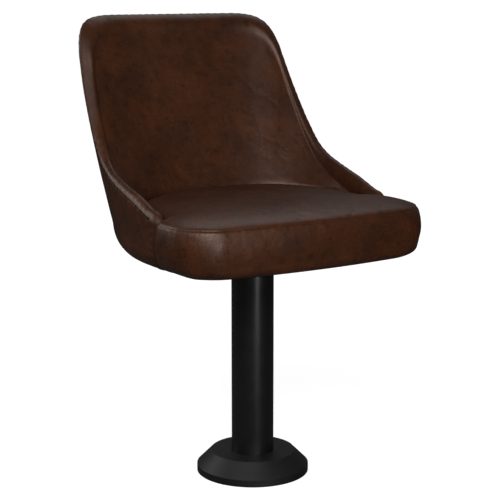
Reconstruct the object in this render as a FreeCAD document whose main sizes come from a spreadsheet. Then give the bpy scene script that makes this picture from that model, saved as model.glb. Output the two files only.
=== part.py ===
import FreeCAD, Part
import math
import os
import Sketcher
from FreeCAD import Placement, Rotation, Vector

# Pedestal swivel armchair, millimetres.
# The origin is on the floor, on the axis of the column. +Z is up and the chair faces -Y.

SIZES = [
    # Pedestal
    ("plate_diameter", 178.0, "steel floor plate"),
    ("plate_thickness", 8.0, ""),
    ("anchor_circle", 140.0, "pitch circle of the floor bolts"),
    ("anchor_hole", 11.0, "clearance hole for a 10 mm floor bolt"),
    ("anchor_count", 4, ""),
    ("column_diameter", 76.2, "three inch tube"),
    ("column_wall", 2.0, ""),
    ("column_top", 380.0, "height of the tube's upper end"),
    ("weld_leg", 5.0, "fillet weld at the foot of the tube"),
    ("cover_diameter", 203.2, "floor cover, eight inches across"),
    ("cover_rim", 12.7, "upright rim of the cover"),
    ("cover_height", 38.1, ""),
    ("cover_flat", 152.4, "diameter of the cover's flat top"),
    ("cover_wall", 1.5, ""),
    ("cover_gap", 0.4, "between the cover's bore and the tube"),
    # Swivel
    ("fit_gap", 0.1, "between pieces pressed or clamped together"),
    ("running_gap", 0.05, "radial, spindle in its bushes"),
    ("spindle_diameter", 25.4, ""),
    ("thread_diameter", 20.0, "lower end of the spindle"),
    ("bush_wall", 2.3, ""),
    ("bush_length", 20.0, ""),
    ("bush_flange", 1.5, "thickness of a bush's flange"),
    ("bush_flange_reach", 3.0, "flange beyond the bush's body"),
    ("housing_length", 118.0, "part of the bearing housing inside the tube"),
    ("housing_land", 22.0, "length of each land that fits the tube"),
    ("housing_lip", 5.0, "thickness of the lip that sits on the tube"),
    ("housing_waist", 46.0, "diameter between the lands"),
    ("ball_diameter", 6.0, ""),
    ("ball_circle", 52.0, ""),
    ("ball_count", 14, ""),
    ("ball_gap", 0.15, "between a ball and its groove"),
    ("pocket_gap", 0.2, "between a ball and its cage"),
    ("groove_depth", 1.0, ""),
    ("race_width", 14.0, "radial width of a bearing race"),
    ("race_thickness", 3.0, ""),
    ("cage_width", 11.0, ""),
    ("cage_thickness", 1.8, ""),
    ("hub_diameter", 64.0, "flange at the top of the spindle"),
    ("washer_diameter", 40.0, ""),
    ("washer_thickness", 3.0, ""),
    ("washer_gap", 0.3, "between the washer and the lower bush"),
    ("nut_flats", 30.0, ""),
    ("nut_height", 16.0, ""),
    ("spindle_tail", 9.0, "spindle below its nut"),
    ("pin_diameter", 4.0, "split pin below the nut"),
    ("pin_length", 32.0, ""),
    # Seat plate and seat board
    ("seat_plate_side", 180.0, ""),
    ("seat_plate_thickness", 5.0, ""),
    ("seat_plate_corner", 16.0, ""),
    ("seat_bolt_spacing", 140.0, ""),
    ("seat_bolt_diameter", 8.0, ""),
    ("seat_bolt_flats", 13.0, ""),
    ("seat_bolt_head", 5.0, ""),
    ("seat_bolt_gap", 0.5, "bolt in its hole in the plate"),
    ("board_bottom", 408.0, "underside of the seat board"),
    ("board_thickness", 12.0, ""),
    ("board_edge", 31.0, "board's edge inside the cushion's front and sides"),
    ("tee_barrel", 10.0, "outside of a tee nut's barrel"),
    ("tee_flange", 20.0, ""),
    ("tee_flange_thickness", 1.5, ""),
    ("skin", 1.2, "upholstery cover"),
    ("soft_gap", 0.6, "between layers of upholstery"),
    # Cushion
    ("seam_height", 492.0, "top stitched seam of the cushion"),
    ("crown_rise", 17.0, "crown above the seam"),
    ("seat_overhang", 6.1, "cushion's side beyond the wings"),
    ("seat_front", 219.8, "front edge ahead of the column's axis"),
    ("seat_bow", 9.5, "bow of the front edge"),
    ("seat_corner", 72.0, "across a front corner, along X"),
    ("seat_corner_depth", 82.0, "across a front corner, along Y"),
    ("seat_lobe", 12.0, "rounding of the cushion's side beside a wing's front"),
    ("boxing_bulge", 4.5, "swell of the cushion's side"),
    ("bottom_roll", 20.0, "rolled lower edge of the cushion, across"),
    ("bottom_roll_height", 18.0, ""),
    ("side_roll", 28.0, "the same at the cushion's sides, across"),
    ("flange_width", 30.0, "cover turned under the board"),
    ("cambric_thickness", 0.6, "dust cover under the board"),
    ("cushion_gap", 1.1, "between the cushion and the back"),
    # Back
    ("wing_wall", 26.5, "thickness of the wings beside the cushion"),
    ("back_wall", 47.0, "thickness of the back behind the cushion"),
    ("well_squareness", 2.6, ""),
    ("plan_centre", 50.0, "plan centre of the back, ahead of the column"),
    ("shell_half_width", 239.5, "outside of the back at the cushion"),
    ("shell_depth", 245.0, "outside of the back behind its plan centre"),
    ("shell_level", 8.0, "height above the seam where those two sizes hold"),
    ("curl_level", 60.0, "height above the foot where the wall sizes the lower curl"),
    ("shell_squareness", 4.2, ""),
    ("shell_squareness_rise", 1.4, ""),
    ("top_flare", 30.5, "widening of the back's plan at the top"),
    ("recline", 18.6, "degrees from upright"),
    ("back_belly", 3.0, "swell of the outside back"),
    ("back_top", 819.0, "height of the back"),
    ("wing_height", 500.0, "height of the wings at the front"),
    ("shell_bottom", 406.8, "underside of the back"),
    ("curl_ratio", 1.05, "height of the lower curl for its width"),
    ("top_roll", 34.0, "rolled edge at the top of the back"),
    ("wing_roll", 25.0, "rolled edge along the wings"),
    ("scoop", 4.0, "hollow of the inside back"),
    ("nose_seam", 60.0, "seam at the wings' front, ahead of the column"),
    ("nose_length", 31.0, "rounded front of a wing ahead of its seam"),
    ("nose_drop", 0.37, "share of its height that the nose's end loses"),
    ("ply_thickness", 9.0, "moulded plywood shell"),
    ("ply_top", 14.0, "plywood's edge below the rim"),
    ("ply_bottom", 432.0, ""),
    ("rail_gap", 1.7, "between the rail and the layers round it"),
    ("lap_height", 20.0, "plywood over the rail"),
    ("shell_screw_diameter", 4.5, ""),
    ("shell_screw_length", 19.0, ""),
    ("strap_width", 28.0, "steel straps between the seat board and the back"),
    ("strap_thickness", 3.0, ""),
    ("strap_inner", 30.0, "strap inside the line of the back"),
    ("strap_outer", 16.0, "strap under the back"),
    ("strap_board_screw", 14.0, "board screw inside the line of the back"),
    ("strap_rail_screw", 9.0, "rail screw outside that line"),
    ("strap_screw_diameter", 5.0, ""),
    ("strap_screw_head", 9.0, ""),
]

# The rim's height at each angle from the middle of the back, as a share of the rise
# from the wings to the top.
RIM_LINE = [
    (0.0, 1.0),
    (22.0, 1.0),
    (27.0, 0.988),
    (30.6, 0.957),
    (33.4, 0.90),
    (35.4, 0.83),
    (38.0, 0.70),
    (41.5, 0.545),
    (46.6, 0.367),
    (53.0, 0.22),
    (60.0, 0.145),
    (70.0, 0.088),
    (80.0, 0.045),
    (90.0, 0.0),
]

# Angles of the back's sections from its middle, closer together at the corners.
SECTION_ANGLES = [0, 7, 13, 18, 22, 25.5, 28.5, 31, 33, 35, 37, 39.5, 42.5, 46, 50, 54.5, 59.5,
                  64.5, 69, 73.5, 77.5, 81.2, 84.5, 87.4, 90]

# Places round the back, in degrees from its middle, of the straps and of the shell's screws.
STRAP_ANGLES = [-50, -17, 17, 50]
SHELL_SCREW_ANGLES = [-80, -45, -15, 15, 45, 80]


class Size:
    """A number together with the sheet expression that gives it."""

    def __init__(self, value, text):
        self.value = float(value)
        self.text = text

    def combined(self, other, sign, value):
        return Size(value, "(%s %s %s)" % (self.text, sign, as_size(other).text))

    def __add__(self, other):
        return self.combined(other, "+", self.value + as_size(other).value)

    def __sub__(self, other):
        return self.combined(other, "-", self.value - as_size(other).value)

    def __mul__(self, other):
        return self.combined(other, "*", self.value * as_size(other).value)

    def __truediv__(self, other):
        return self.combined(other, "/", self.value / as_size(other).value)


def as_size(number):
    if isinstance(number, Size):
        return number
    return Size(number, repr(float(number)))


class Dimensions:
    """The sheet's sizes by name: d.name is a Size, d("name") is its plain number."""

    def __init__(self, sheet, sizes):
        self.numbers = {}
        for row, (name, value, note) in enumerate(sizes, 1):
            sheet.set("A%d" % row, name)
            sheet.set("B%d" % row, str(value))
            sheet.set("C%d" % row, note)
            sheet.setAlias("B%d" % row, name)
            self.numbers[name] = float(value)

    def __getattr__(self, name):
        return Size(self.numbers[name], "Dims." + name)

    def __call__(self, name):
        return self.numbers[name]


doc = FreeCAD.newDocument("armchair")
sheet = doc.addObject("Spreadsheet::Sheet", "Dims")
d = Dimensions(sheet, SIZES)
doc.recompute()

nodes = []


# Helpers for sketched and primitive pieces

def bind(owner, name, size):
    """Set a property and tie it to the sheet."""
    size = as_size(size)
    owner.setExpression(name, size.text)


def new_body(name):
    body = doc.addObject("PartDesign::Body", name)
    body.Label = name
    nodes.append(body)
    return body


def origin_feature(body, role):
    return [item for item in body.Origin.OriginFeatures if item.Role == role][0]


def new_sketch(body, name, role, height=None):
    sketch = body.newObject("Sketcher::SketchObject", name)
    sketch.AttachmentSupport = [(origin_feature(body, role), "")]
    sketch.MapMode = "FlatFace"
    if height is not None:
        bind(sketch, "AttachmentOffset.Base.z", height)
    return sketch


def name_constraint(sketch, constraint, name, size):
    index = sketch.addConstraint(constraint)
    sketch.renameConstraint(index, name)
    sketch.setExpression("Constraints." + name, size.text)


def place_point(sketch, geometry, point, name, along, up):
    """Hold one sketch point at two sizes from the sketch's origin."""
    along = as_size(along)
    up = as_size(up)
    if along.value == 0.0:
        sketch.addConstraint(Sketcher.Constraint("PointOnObject", geometry, point, -2))
    else:
        name_constraint(sketch, Sketcher.Constraint("DistanceX", -1, 1, geometry, point, along.value),
                        name + "_along", along)
    if up.value == 0.0:
        sketch.addConstraint(Sketcher.Constraint("PointOnObject", geometry, point, -1))
    else:
        name_constraint(sketch, Sketcher.Constraint("DistanceY", -1, 1, geometry, point, up.value),
                        name + "_up", up)


def sketch_outline(sketch, points):
    """Closed outline of straight lines through the given pairs of sizes."""
    places = [Vector(as_size(a).value, as_size(b).value, 0) for a, b in points]
    count = len(places)
    for i in range(count):
        sketch.addGeometry(Part.LineSegment(places[i], places[(i + 1) % count]), False)
    for i in range(count):
        sketch.addConstraint(Sketcher.Constraint("Coincident", i, 2, (i + 1) % count, 1))
    for i, (along, up) in enumerate(points):
        place_point(sketch, i, 1, "point_%d" % i, along, up)


def sketch_circle(sketch, diameter, along=0.0, up=0.0):
    diameter = as_size(diameter)
    index = sketch.GeometryCount
    centre = Vector(as_size(along).value, as_size(up).value, 0)
    sketch.addGeometry(Part.Circle(centre, Vector(0, 0, 1), diameter.value / 2), False)
    if as_size(along).value == 0.0 and as_size(up).value == 0.0:
        sketch.addConstraint(Sketcher.Constraint("Coincident", index, 3, -1, 1))
    else:
        place_point(sketch, index, 3, "centre_%d" % index, along, up)
    name_constraint(sketch, Sketcher.Constraint("Diameter", index, diameter.value),
                    "diameter_%d" % index, diameter)


def turned_body(name, points):
    """A body turned about Z from an outline of radius and height pairs."""
    body = new_body(name)
    sketch = new_sketch(body, name + "_outline", "XZ_Plane")
    sketch_outline(sketch, points)
    turning = body.newObject("PartDesign::Revolution", name + "_turning")
    turning.Profile = sketch
    turning.ReferenceAxis = (sketch, ["V_Axis"])
    turning.Angle = 360.0
    body.Tip = turning
    return body


def groove_ring(body, name, diameter, radius, height):
    """Cut a round groove about Z into the body."""
    before = solid_volume(body)
    sketch = new_sketch(body, name + "_outline", "XZ_Plane")
    sketch_circle(sketch, diameter, radius, height)
    groove = body.newObject("PartDesign::Groove", name)
    groove.Profile = sketch
    groove.ReferenceAxis = (sketch, ["V_Axis"])
    groove.Angle = 360.0
    body.Tip = groove
    require_less(body, before)


def pocket_through(body, sketch, name):
    """Cut the sketch's outline through the whole body, both ways."""
    before = solid_volume(body)
    pocket = body.newObject("PartDesign::Pocket", name)
    pocket.Profile = sketch
    pocket.Type = "ThroughAll"
    pocket.Midplane = True
    body.Tip = pocket
    require_less(body, before)
    return pocket


def solid_volume(body):
    doc.recompute()
    return body.Shape.Volume


def require_less(body, before):
    doc.recompute()
    if not body.Shape.Volume < before - 1.0:
        raise RuntimeError("a cut in %s removed nothing" % body.Label)


def round_pattern(body, feature, name, count):
    pattern = body.newObject("PartDesign::PolarPattern", name)
    pattern.Originals = [feature]
    pattern.Axis = (origin_feature(body, "Z_Axis"), [""])
    pattern.Angle = 360.0
    bind(pattern, "Occurrences", count)
    body.Tip = pattern
    return pattern


def primitive(kind, name, placement=None, **sizes):
    """A primitive solid whose properties are tied to the sheet."""
    item = doc.addObject(kind, name)
    for key, size in sizes.items():
        bind(item, key, size)
    if placement is not None:
        item.Placement = placement
    return item


def at_height(item, size):
    bind(item, "Placement.Base.z", size)
    return item


def node_of(item, name):
    item.Label = name
    nodes.append(item)
    return item


def group_of(items, name):
    """Identical separate solids kept as one piece."""
    group = doc.addObject("Part::Compound", name)
    group.Links = items
    return node_of(group, name)


def soft_node(name, shape):
    """A shaped piece made from sections."""
    item = doc.addObject("Part::Feature", name)
    item.Shape = shape
    item.Placement = Placement()
    return node_of(item, name)


# Pedestal, fixed to the floor

plate_radius = d.plate_diameter / 2
column_radius = d.column_diameter / 2
column_bore = column_radius - d.column_wall

floor_plate = new_body("floor_plate")
plate_sketch = new_sketch(floor_plate, "plate_outline", "XY_Plane")
sketch_circle(plate_sketch, d.plate_diameter)
plate_pad = floor_plate.newObject("PartDesign::Pad", "plate_pad")
plate_pad.Profile = plate_sketch
bind(plate_pad, "Length", d.plate_thickness)
hole_sketch = new_sketch(floor_plate, "anchor_outline", "XY_Plane")
sketch_circle(hole_sketch, d.anchor_hole, d.anchor_circle / 2, 0.0)
anchor_pocket = pocket_through(floor_plate, hole_sketch, "anchor_pocket")
round_pattern(floor_plate, anchor_pocket, "anchor_pattern", d.anchor_count)

column = new_body("column")
column_sketch = new_sketch(column, "column_outline", "XY_Plane", d.plate_thickness)
sketch_circle(column_sketch, d.column_diameter)
sketch_circle(column_sketch, d.column_diameter - d.column_wall * 2)
column_pad = column.newObject("PartDesign::Pad", "column_pad")
column_pad.Profile = column_sketch
bind(column_pad, "Length", d.column_top - d.plate_thickness)

weld_foot = column_radius + d.fit_gap / 2
turned_body("column_weld", [
    (weld_foot, d.plate_thickness),
    (weld_foot + d.weld_leg, d.plate_thickness),
    (weld_foot, d.plate_thickness + d.weld_leg),
])

cover_bore = column_radius + d.cover_gap
cover_radius = d.cover_diameter / 2
cover_top_radius = d.cover_flat / 2
turned_body("base_cover", [
    (cover_bore, d.cover_height - d.cover_wall),
    (cover_top_radius - d.cover_wall / 2, d.cover_height - d.cover_wall),
    (cover_radius - d.cover_wall, d.cover_rim - d.cover_wall / 2),
    (cover_radius - d.cover_wall, 0.0),
    (cover_radius, 0.0),
    (cover_radius, d.cover_rim),
    (cover_top_radius, d.cover_height),
    (cover_bore, d.cover_height),
])

# Swivel: housing, bushes and races fixed in the column, spindle turning in them

spindle_radius = d.spindle_diameter / 2
bush_bore = spindle_radius + d.running_gap
bush_radius = bush_bore + d.bush_wall
housing_bore = bush_radius + d.fit_gap / 2
land_radius = column_bore - d.fit_gap
waist_radius = d.housing_waist / 2
housing_foot = d.column_top - d.housing_length
lip_top = d.column_top + d.housing_lip
turned_body("bearing_housing", [
    (housing_bore, housing_foot),
    (land_radius, housing_foot),
    (land_radius, housing_foot + d.housing_land),
    (waist_radius, housing_foot + d.housing_land),
    (waist_radius, d.column_top - d.housing_land),
    (land_radius, d.column_top - d.housing_land),
    (land_radius, d.column_top),
    (column_radius, d.column_top),
    (column_radius, lip_top),
    (housing_bore, lip_top),
])

flange_radius = bush_radius + d.bush_flange_reach
turned_body("upper_bush", [
    (bush_bore, lip_top - d.bush_length),
    (bush_radius, lip_top - d.bush_length),
    (bush_radius, lip_top),
    (flange_radius, lip_top),
    (flange_radius, lip_top + d.bush_flange),
    (bush_bore, lip_top + d.bush_flange),
])
turned_body("lower_bush", [
    (bush_bore, housing_foot - d.bush_flange),
    (flange_radius, housing_foot - d.bush_flange),
    (flange_radius, housing_foot),
    (bush_radius, housing_foot),
    (bush_radius, housing_foot + d.bush_length),
    (bush_bore, housing_foot + d.bush_length),
])

groove_radius = d.ball_diameter / 2 + d.ball_gap
groove_diameter = groove_radius * 2
ball_ring = d.ball_circle / 2
race_inner = ball_ring - d.race_width / 2
race_outer = ball_ring + d.race_width / 2
lower_race_top = lip_top + d.race_thickness
ball_height = lower_race_top + groove_radius - d.groove_depth
upper_race_foot = ball_height + groove_radius - d.groove_depth
upper_race_top = upper_race_foot + d.race_thickness

lower_race = turned_body("lower_race", [
    (race_inner, lip_top),
    (race_outer, lip_top),
    (race_outer, lower_race_top),
    (race_inner, lower_race_top),
])
groove_ring(lower_race, "lower_groove", groove_diameter, ball_ring, ball_height)

upper_race = turned_body("upper_race", [
    (race_inner, upper_race_foot),
    (race_outer, upper_race_foot),
    (race_outer, upper_race_top),
    (race_inner, upper_race_top),
])
groove_ring(upper_race, "upper_groove", groove_diameter, ball_ring, ball_height)

ball_cage = new_body("ball_cage")
cage_sketch = new_sketch(ball_cage, "cage_outline", "XY_Plane", ball_height - d.cage_thickness / 2)
sketch_circle(cage_sketch, d.ball_circle + d.cage_width)
sketch_circle(cage_sketch, d.ball_circle - d.cage_width)
cage_pad = ball_cage.newObject("PartDesign::Pad", "cage_pad")
cage_pad.Profile = cage_sketch
bind(cage_pad, "Length", d.cage_thickness)
pocket_sketch = new_sketch(ball_cage, "ball_pocket_outline", "XY_Plane", ball_height)
sketch_circle(pocket_sketch, d.ball_diameter + d.pocket_gap * 2, ball_ring, 0.0)
ball_pocket = pocket_through(ball_cage, pocket_sketch, "ball_pocket")
round_pattern(ball_cage, ball_pocket, "ball_pocket_pattern", d.ball_count)

balls = []
for i in range(int(d("ball_count"))):
    angle = 2 * math.pi * i / d("ball_count")
    ball = primitive("Part::Sphere", "ball_%d" % i, Radius=d.ball_diameter / 2)
    bind(ball, "Placement.Base.x", ball_ring * math.cos(angle))
    bind(ball, "Placement.Base.y", ball_ring * math.sin(angle))
    balls.append(at_height(ball, ball_height))
group_of(balls, "bearing_balls")

seat_plate_foot = d.board_bottom - d.seat_plate_thickness
shoulder = housing_foot - d.bush_flange - d.washer_gap
thread_radius = d.thread_diameter / 2
hub_radius = d.hub_diameter / 2
spindle_end = shoulder - d.washer_thickness - d.nut_height - d.spindle_tail
spindle = turned_body("spindle", [
    (0.0, spindle_end),
    (thread_radius, spindle_end),
    (thread_radius, shoulder),
    (spindle_radius, shoulder),
    (spindle_radius, upper_race_top),
    (hub_radius, upper_race_top),
    (hub_radius, seat_plate_foot),
    (0.0, seat_plate_foot),
])
pin_height = spindle_end + d.spindle_tail / 2
pin_sketch = new_sketch(spindle, "pin_hole_outline", "XZ_Plane")
sketch_circle(pin_sketch, d.pin_diameter + d.fit_gap * 2, 0.0, pin_height)
pocket_through(spindle, pin_sketch, "pin_hole")

turned_body("spindle_washer", [
    (thread_radius + d.fit_gap, shoulder - d.washer_thickness),
    (d.washer_diameter / 2, shoulder - d.washer_thickness),
    (d.washer_diameter / 2, shoulder),
    (thread_radius + d.fit_gap, shoulder),
])


def hexagon(name, flats, height, foot):
    """Six sided prism standing on the given height."""
    item = primitive("Part::Prism", name, Circumradius=flats / math.sqrt(3), Height=height)
    item.Polygon = 6
    return at_height(item, foot)


nut_foot = shoulder - d.washer_thickness - d.nut_height
nut_bore = primitive("Part::Cylinder", "nut_bore", Radius=thread_radius + d.fit_gap,
                     Height=d.nut_height)
spindle_nut = doc.addObject("Part::Cut", "spindle_nut")
spindle_nut.Base = hexagon("nut_prism", d.nut_flats, d.nut_height, nut_foot)
spindle_nut.Tool = at_height(nut_bore, nut_foot)
node_of(spindle_nut, "spindle_nut")

split_pin = primitive("Part::Cylinder", "split_pin", Radius=d.pin_diameter / 2, Height=d.pin_length)
split_pin.Placement = Placement(Vector(0, d("pin_length") / 2, 0), Rotation(Vector(1, 0, 0), 90))
bind(split_pin, "Placement.Base.y", d.pin_length / 2)
node_of(at_height(split_pin, pin_height), "split_pin")

# Seat plate, its bolts and tee nuts

half_side = d.seat_plate_side / 2
half_spacing = d.seat_bolt_spacing / 2
seat_plate = new_body("seat_plate")
side_sketch = new_sketch(seat_plate, "seat_plate_outline", "XY_Plane", seat_plate_foot)
sketch_outline(side_sketch, [
    (half_side * -1, half_side * -1),
    (half_side, half_side * -1),
    (half_side, half_side),
    (half_side * -1, half_side),
])
seat_plate_pad = seat_plate.newObject("PartDesign::Pad", "seat_plate_pad")
seat_plate_pad.Profile = side_sketch
bind(seat_plate_pad, "Length", d.seat_plate_thickness)
doc.recompute()
upright_edges = []
for i, edge in enumerate(seat_plate_pad.Shape.Edges, 1):
    if abs(edge.Vertexes[0].X - edge.Vertexes[-1].X) + abs(edge.Vertexes[0].Y - edge.Vertexes[-1].Y) < 0.01:
        upright_edges.append("Edge%d" % i)
plate_corners = seat_plate.newObject("PartDesign::Fillet", "seat_plate_corners")
plate_corners.Base = (seat_plate_pad, upright_edges)
bind(plate_corners, "Radius", d.seat_plate_corner)
seat_plate.Tip = plate_corners
plate_hole_sketch = new_sketch(seat_plate, "seat_plate_holes", "XY_Plane", d.board_bottom)
sketch_circle(plate_hole_sketch, d.seat_bolt_diameter + d.seat_bolt_gap * 2, half_spacing, half_spacing)
plate_hole = pocket_through(seat_plate, plate_hole_sketch, "seat_plate_hole")
round_pattern(seat_plate, plate_hole, "seat_plate_hole_pattern", Size(4, "4"))

bolt_radius = d.seat_bolt_diameter / 2
board_top = d.board_bottom + d.board_thickness
tee_top = board_top
bolts = []
tee_nuts = []
for i, (sx, sy) in enumerate([(1, 1), (-1, 1), (-1, -1), (1, -1)]):
    head = hexagon("bolt_head_%d" % i, d.seat_bolt_flats, d.seat_bolt_head,
                   seat_plate_foot - d.seat_bolt_head)
    shank = primitive("Part::Cylinder", "bolt_shank_%d" % i, Radius=bolt_radius,
                      Height=d.seat_plate_thickness + d.board_thickness - d.tee_flange_thickness)
    at_height(shank, seat_plate_foot)
    barrel = primitive("Part::Cylinder", "tee_barrel_%d" % i, Radius=d.tee_barrel / 2,
                       Height=d.board_thickness)
    at_height(barrel, d.board_bottom)
    tee_disc = primitive("Part::Cylinder", "tee_disc_%d" % i, Radius=d.tee_flange / 2,
                         Height=d.tee_flange_thickness)
    at_height(tee_disc, tee_top - d.tee_flange_thickness)
    bore = primitive("Part::Cylinder", "tee_bore_%d" % i, Radius=bolt_radius + d.fit_gap,
                     Height=d.board_thickness)
    at_height(bore, d.board_bottom)
    for item in (head, shank, barrel, tee_disc, bore):
        bind(item, "Placement.Base.x", half_spacing * sx)
        bind(item, "Placement.Base.y", half_spacing * sy)
    bolt = doc.addObject("Part::Fuse", "bolt_%d" % i)
    bolt.Base = head
    bolt.Tool = shank
    bolts.append(bolt)
    tee_body = doc.addObject("Part::Fuse", "tee_body_%d" % i)
    tee_body.Base = barrel
    tee_body.Tool = tee_disc
    tee = doc.addObject("Part::Cut", "tee_%d" % i)
    tee.Base = tee_body
    tee.Tool = bore
    tee_nuts.append(tee)
group_of(bolts, "seat_bolts")
group_of(tee_nuts, "tee_nuts")


# Helpers for lofted pieces

def curve(a, b, c):
    """Arc through three points, or the straight line where they are in line."""
    if (b - a).cross(c - b).Length < 1e-4 * (b - a).Length * (c - b).Length:
        return Part.LineSegment(a, c).toShape()
    return Part.Arc(a, b, c).toShape()


def closed_wire(parts):
    """Wire of runs: each run is its points, two for a line and three for an arc."""
    edges = []
    for run in parts:
        if len(run) == 3:
            edges.append(curve(*run))
        else:
            edges.append(Part.LineSegment(run[0], run[1]).toShape())
    return Part.Wire(edges)


def loft(wires):
    return Part.makeLoft(wires, True, False)


def prism(wire, height):
    return Part.Face(wire).extrude(Vector(0, 0, height))


def superellipse(angle, across, deep, power):
    """Distance from the plan centre to the plan curve, at an angle from its rear."""
    return ((abs(math.sin(angle)) / across) ** power + (abs(math.cos(angle)) / deep) ** power) ** (-1 / power)


def between(angle, line):
    """Smooth value on a line of (angle, value) points, flat beyond its ends."""
    if angle <= line[0][0]:
        return line[0][1]
    for i in range(len(line) - 1):
        (a0, v0), (a1, v1) = line[i], line[i + 1]
        if angle <= a1:
            slopes = []
            for k in (i, i + 1):
                if k == 0 or k == len(line) - 1:
                    slopes.append(0.0 if k == 0 else (v1 - v0) / (a1 - a0))
                else:
                    left = (line[k][1] - line[k - 1][1]) / (line[k][0] - line[k - 1][0])
                    right = (line[k + 1][1] - line[k][1]) / (line[k + 1][0] - line[k][0])
                    slopes.append(0.0 if left * right <= 0 else 2 * left * right / (left + right))
            span = a1 - a0
            t = (angle - a0) / span
            return (v0 * (1 + 2 * t) * (1 - t) ** 2 + slopes[0] * span * t * (1 - t) ** 2
                    + v1 * t * t * (3 - 2 * t) - slopes[1] * span * t * t * (1 - t))
    return line[-1][1]


# Plan and sections of the back

centre_y = -d("plan_centre")
plan_level = d("seam_height") + d("shell_level")
rise = d("back_top") - plan_level
foot = d("shell_bottom")
well_half_width = d("shell_half_width") - d("wing_wall")
well_depth = d("shell_depth") - d("back_wall")
seat_half_width = d("shell_half_width") + d("seat_overhang")
skin = d("skin")
gap = d("soft_gap")


def outside(angle, z):
    """Outer surface of the back: distance from the plan centre at an angle and a height."""
    share = (z - plan_level) / rise
    up = max(0.0, share)
    across = d("shell_half_width") + d("top_flare") * up ** 3
    deep = (d("shell_depth") + math.tan(math.radians(d("recline"))) * (z - plan_level)
            + d("back_belly") * 4 * up * (1 - up))
    power = d("shell_squareness") + d("shell_squareness_rise") * math.sin(math.pi * min(1.0, up))
    if share < 0:
        power = max(2.2, power + 4.0 * share)
    return superellipse(angle, across, deep, power)


def well(angle):
    """Inner surface of the back beside the cushion."""
    return superellipse(angle, well_half_width, well_depth, d("well_squareness"))


def arc_at(points, z):
    """Radius at a height on the arc through three points of radius and height."""
    (r0, z0), (r1, z1), (r2, z2) = points
    twist = (r1 - r0) * (z2 - z1) - (r2 - r1) * (z1 - z0)
    if abs(twist) < 1e-3 * (z2 - z0):
        return r0 + (r2 - r0) * (z - z0) / (z2 - z0)
    a = (r1 ** 2 - r0 ** 2 + z1 ** 2 - z0 ** 2) / 2
    b = (r2 ** 2 - r1 ** 2 + z2 ** 2 - z1 ** 2) / 2
    centre_r = (a * (z2 - z1) - b * (z1 - z0)) / twist
    centre_z = (b * (r1 - r0) - a * (r2 - r1)) / twist
    size = math.hypot(r0 - centre_r, z0 - centre_z)
    side = math.copysign(1.0, r1 - centre_r)
    return centre_r + side * math.sqrt(max(0.0, size ** 2 - (z - centre_z) ** 2))


class Section:
    """Radii and heights of the back's wall in one upright plane."""

    def __init__(self, angle, rim=None):
        self.angle = angle
        share = between(math.degrees(abs(angle)), RIM_LINE)
        self.rim = d("wing_height") + (d("back_top") - d("wing_height")) * share
        if rim is not None:
            self.rim = rim
        self.inner = well(angle)
        self.curl = foot + d("curl_ratio") * (outside(angle, foot + d("curl_level")) - self.inner)
        share = min(1.0, max(0.0, (math.degrees(abs(angle)) - 30.0) / 25.0))
        self.roll = d("top_roll") + (d("wing_roll") - d("top_roll")) * share
        self.edge = outside(angle, self.rim)
        self.turn = self.rim - self.roll
        self.knee = min(plan_level, self.turn - 6.0)

    def outer(self, z, inset):
        """Radius of the outer surface moved inwards, with the curl at its foot."""
        if z < self.curl:
            return arc_at([self.curl_point(turn, inset) for turn in (84, 42, 0)], z)
        levels = (self.curl, (self.curl + self.rim) / 2, self.rim)
        return arc_at([(outside(self.angle, level) - inset, level) for level in levels], z)

    def curl_point(self, degrees, inset):
        turn = math.radians(degrees)
        width = outside(self.angle, self.curl) - inset - self.inner
        height = self.curl - foot - inset
        return (self.inner + width * math.cos(turn), self.curl - height * math.sin(turn))

    def roll_point(self, degrees, inset):
        turn = math.radians(degrees)
        size = self.roll - inset
        return (self.edge - size * math.sin(turn), self.turn + size * math.cos(turn))

    def inside_run(self, inset):
        """Inner surface from the roll down to the cushion's level."""
        start = self.roll_point(90, inset)
        end = (self.inner + inset, self.knee)
        hollow = d("scoop") * (start[1] - end[1]) / rise
        middle = ((start[0] + end[0]) / 2 + hollow, (start[1] + end[1]) / 2)
        return [start, middle, end]

    def outer_run(self, low, high, inset):
        """Outer surface between two heights, upwards."""
        return [(self.outer(z, inset), z) for z in (low, (low + high) / 2, high)]


def outside_cover_runs(s):
    top = s.rim - skin - 2 * gap
    outer = [s.curl_point(84, 0.0), s.curl_point(42, 0.0), s.curl_point(0, 0.0)]
    inner = [s.curl_point(84, skin), s.curl_point(42, skin), s.curl_point(0, skin)]
    rise_outer = s.outer_run(s.curl, top, 0.0)
    rise_inner = s.outer_run(s.curl, top, skin)
    return [outer, rise_outer, [rise_outer[2], rise_inner[2]], rise_inner[::-1], inner[::-1],
            [inner[0], outer[0]]]


def inside_cover_runs(s):
    roll_outer = [s.roll_point(a, 0.0) for a in (0, 45, 90)]
    roll_inner = [s.roll_point(a, skin) for a in (0, 45, 90)]
    face_outer = s.inside_run(0.0)
    face_inner = s.inside_run(skin)
    low_outer = (s.inner, foot)
    low_inner = (s.inner + skin, foot)
    return [roll_outer, face_outer, [face_outer[2], low_outer], [low_outer, low_inner],
            [low_inner, face_inner[2]], face_inner[::-1], roll_inner[::-1],
            [roll_inner[0], roll_outer[0]]]


def ply_runs(s):
    low = d("ply_bottom")
    middle = max(s.curl, low + 4.0)
    top = s.rim - d("ply_top")
    clear = skin + gap
    thick = clear + d("ply_thickness")
    lower_outer = s.outer_run(low, middle, clear)
    upper_outer = s.outer_run(middle, top, clear)
    lower_inner = s.outer_run(low, middle, thick)
    upper_inner = s.outer_run(middle, top, thick)
    return [lower_outer, upper_outer, [upper_outer[2], upper_inner[2]], upper_inner[::-1],
            lower_inner[::-1], [lower_inner[0], lower_outer[0]]]


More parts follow.
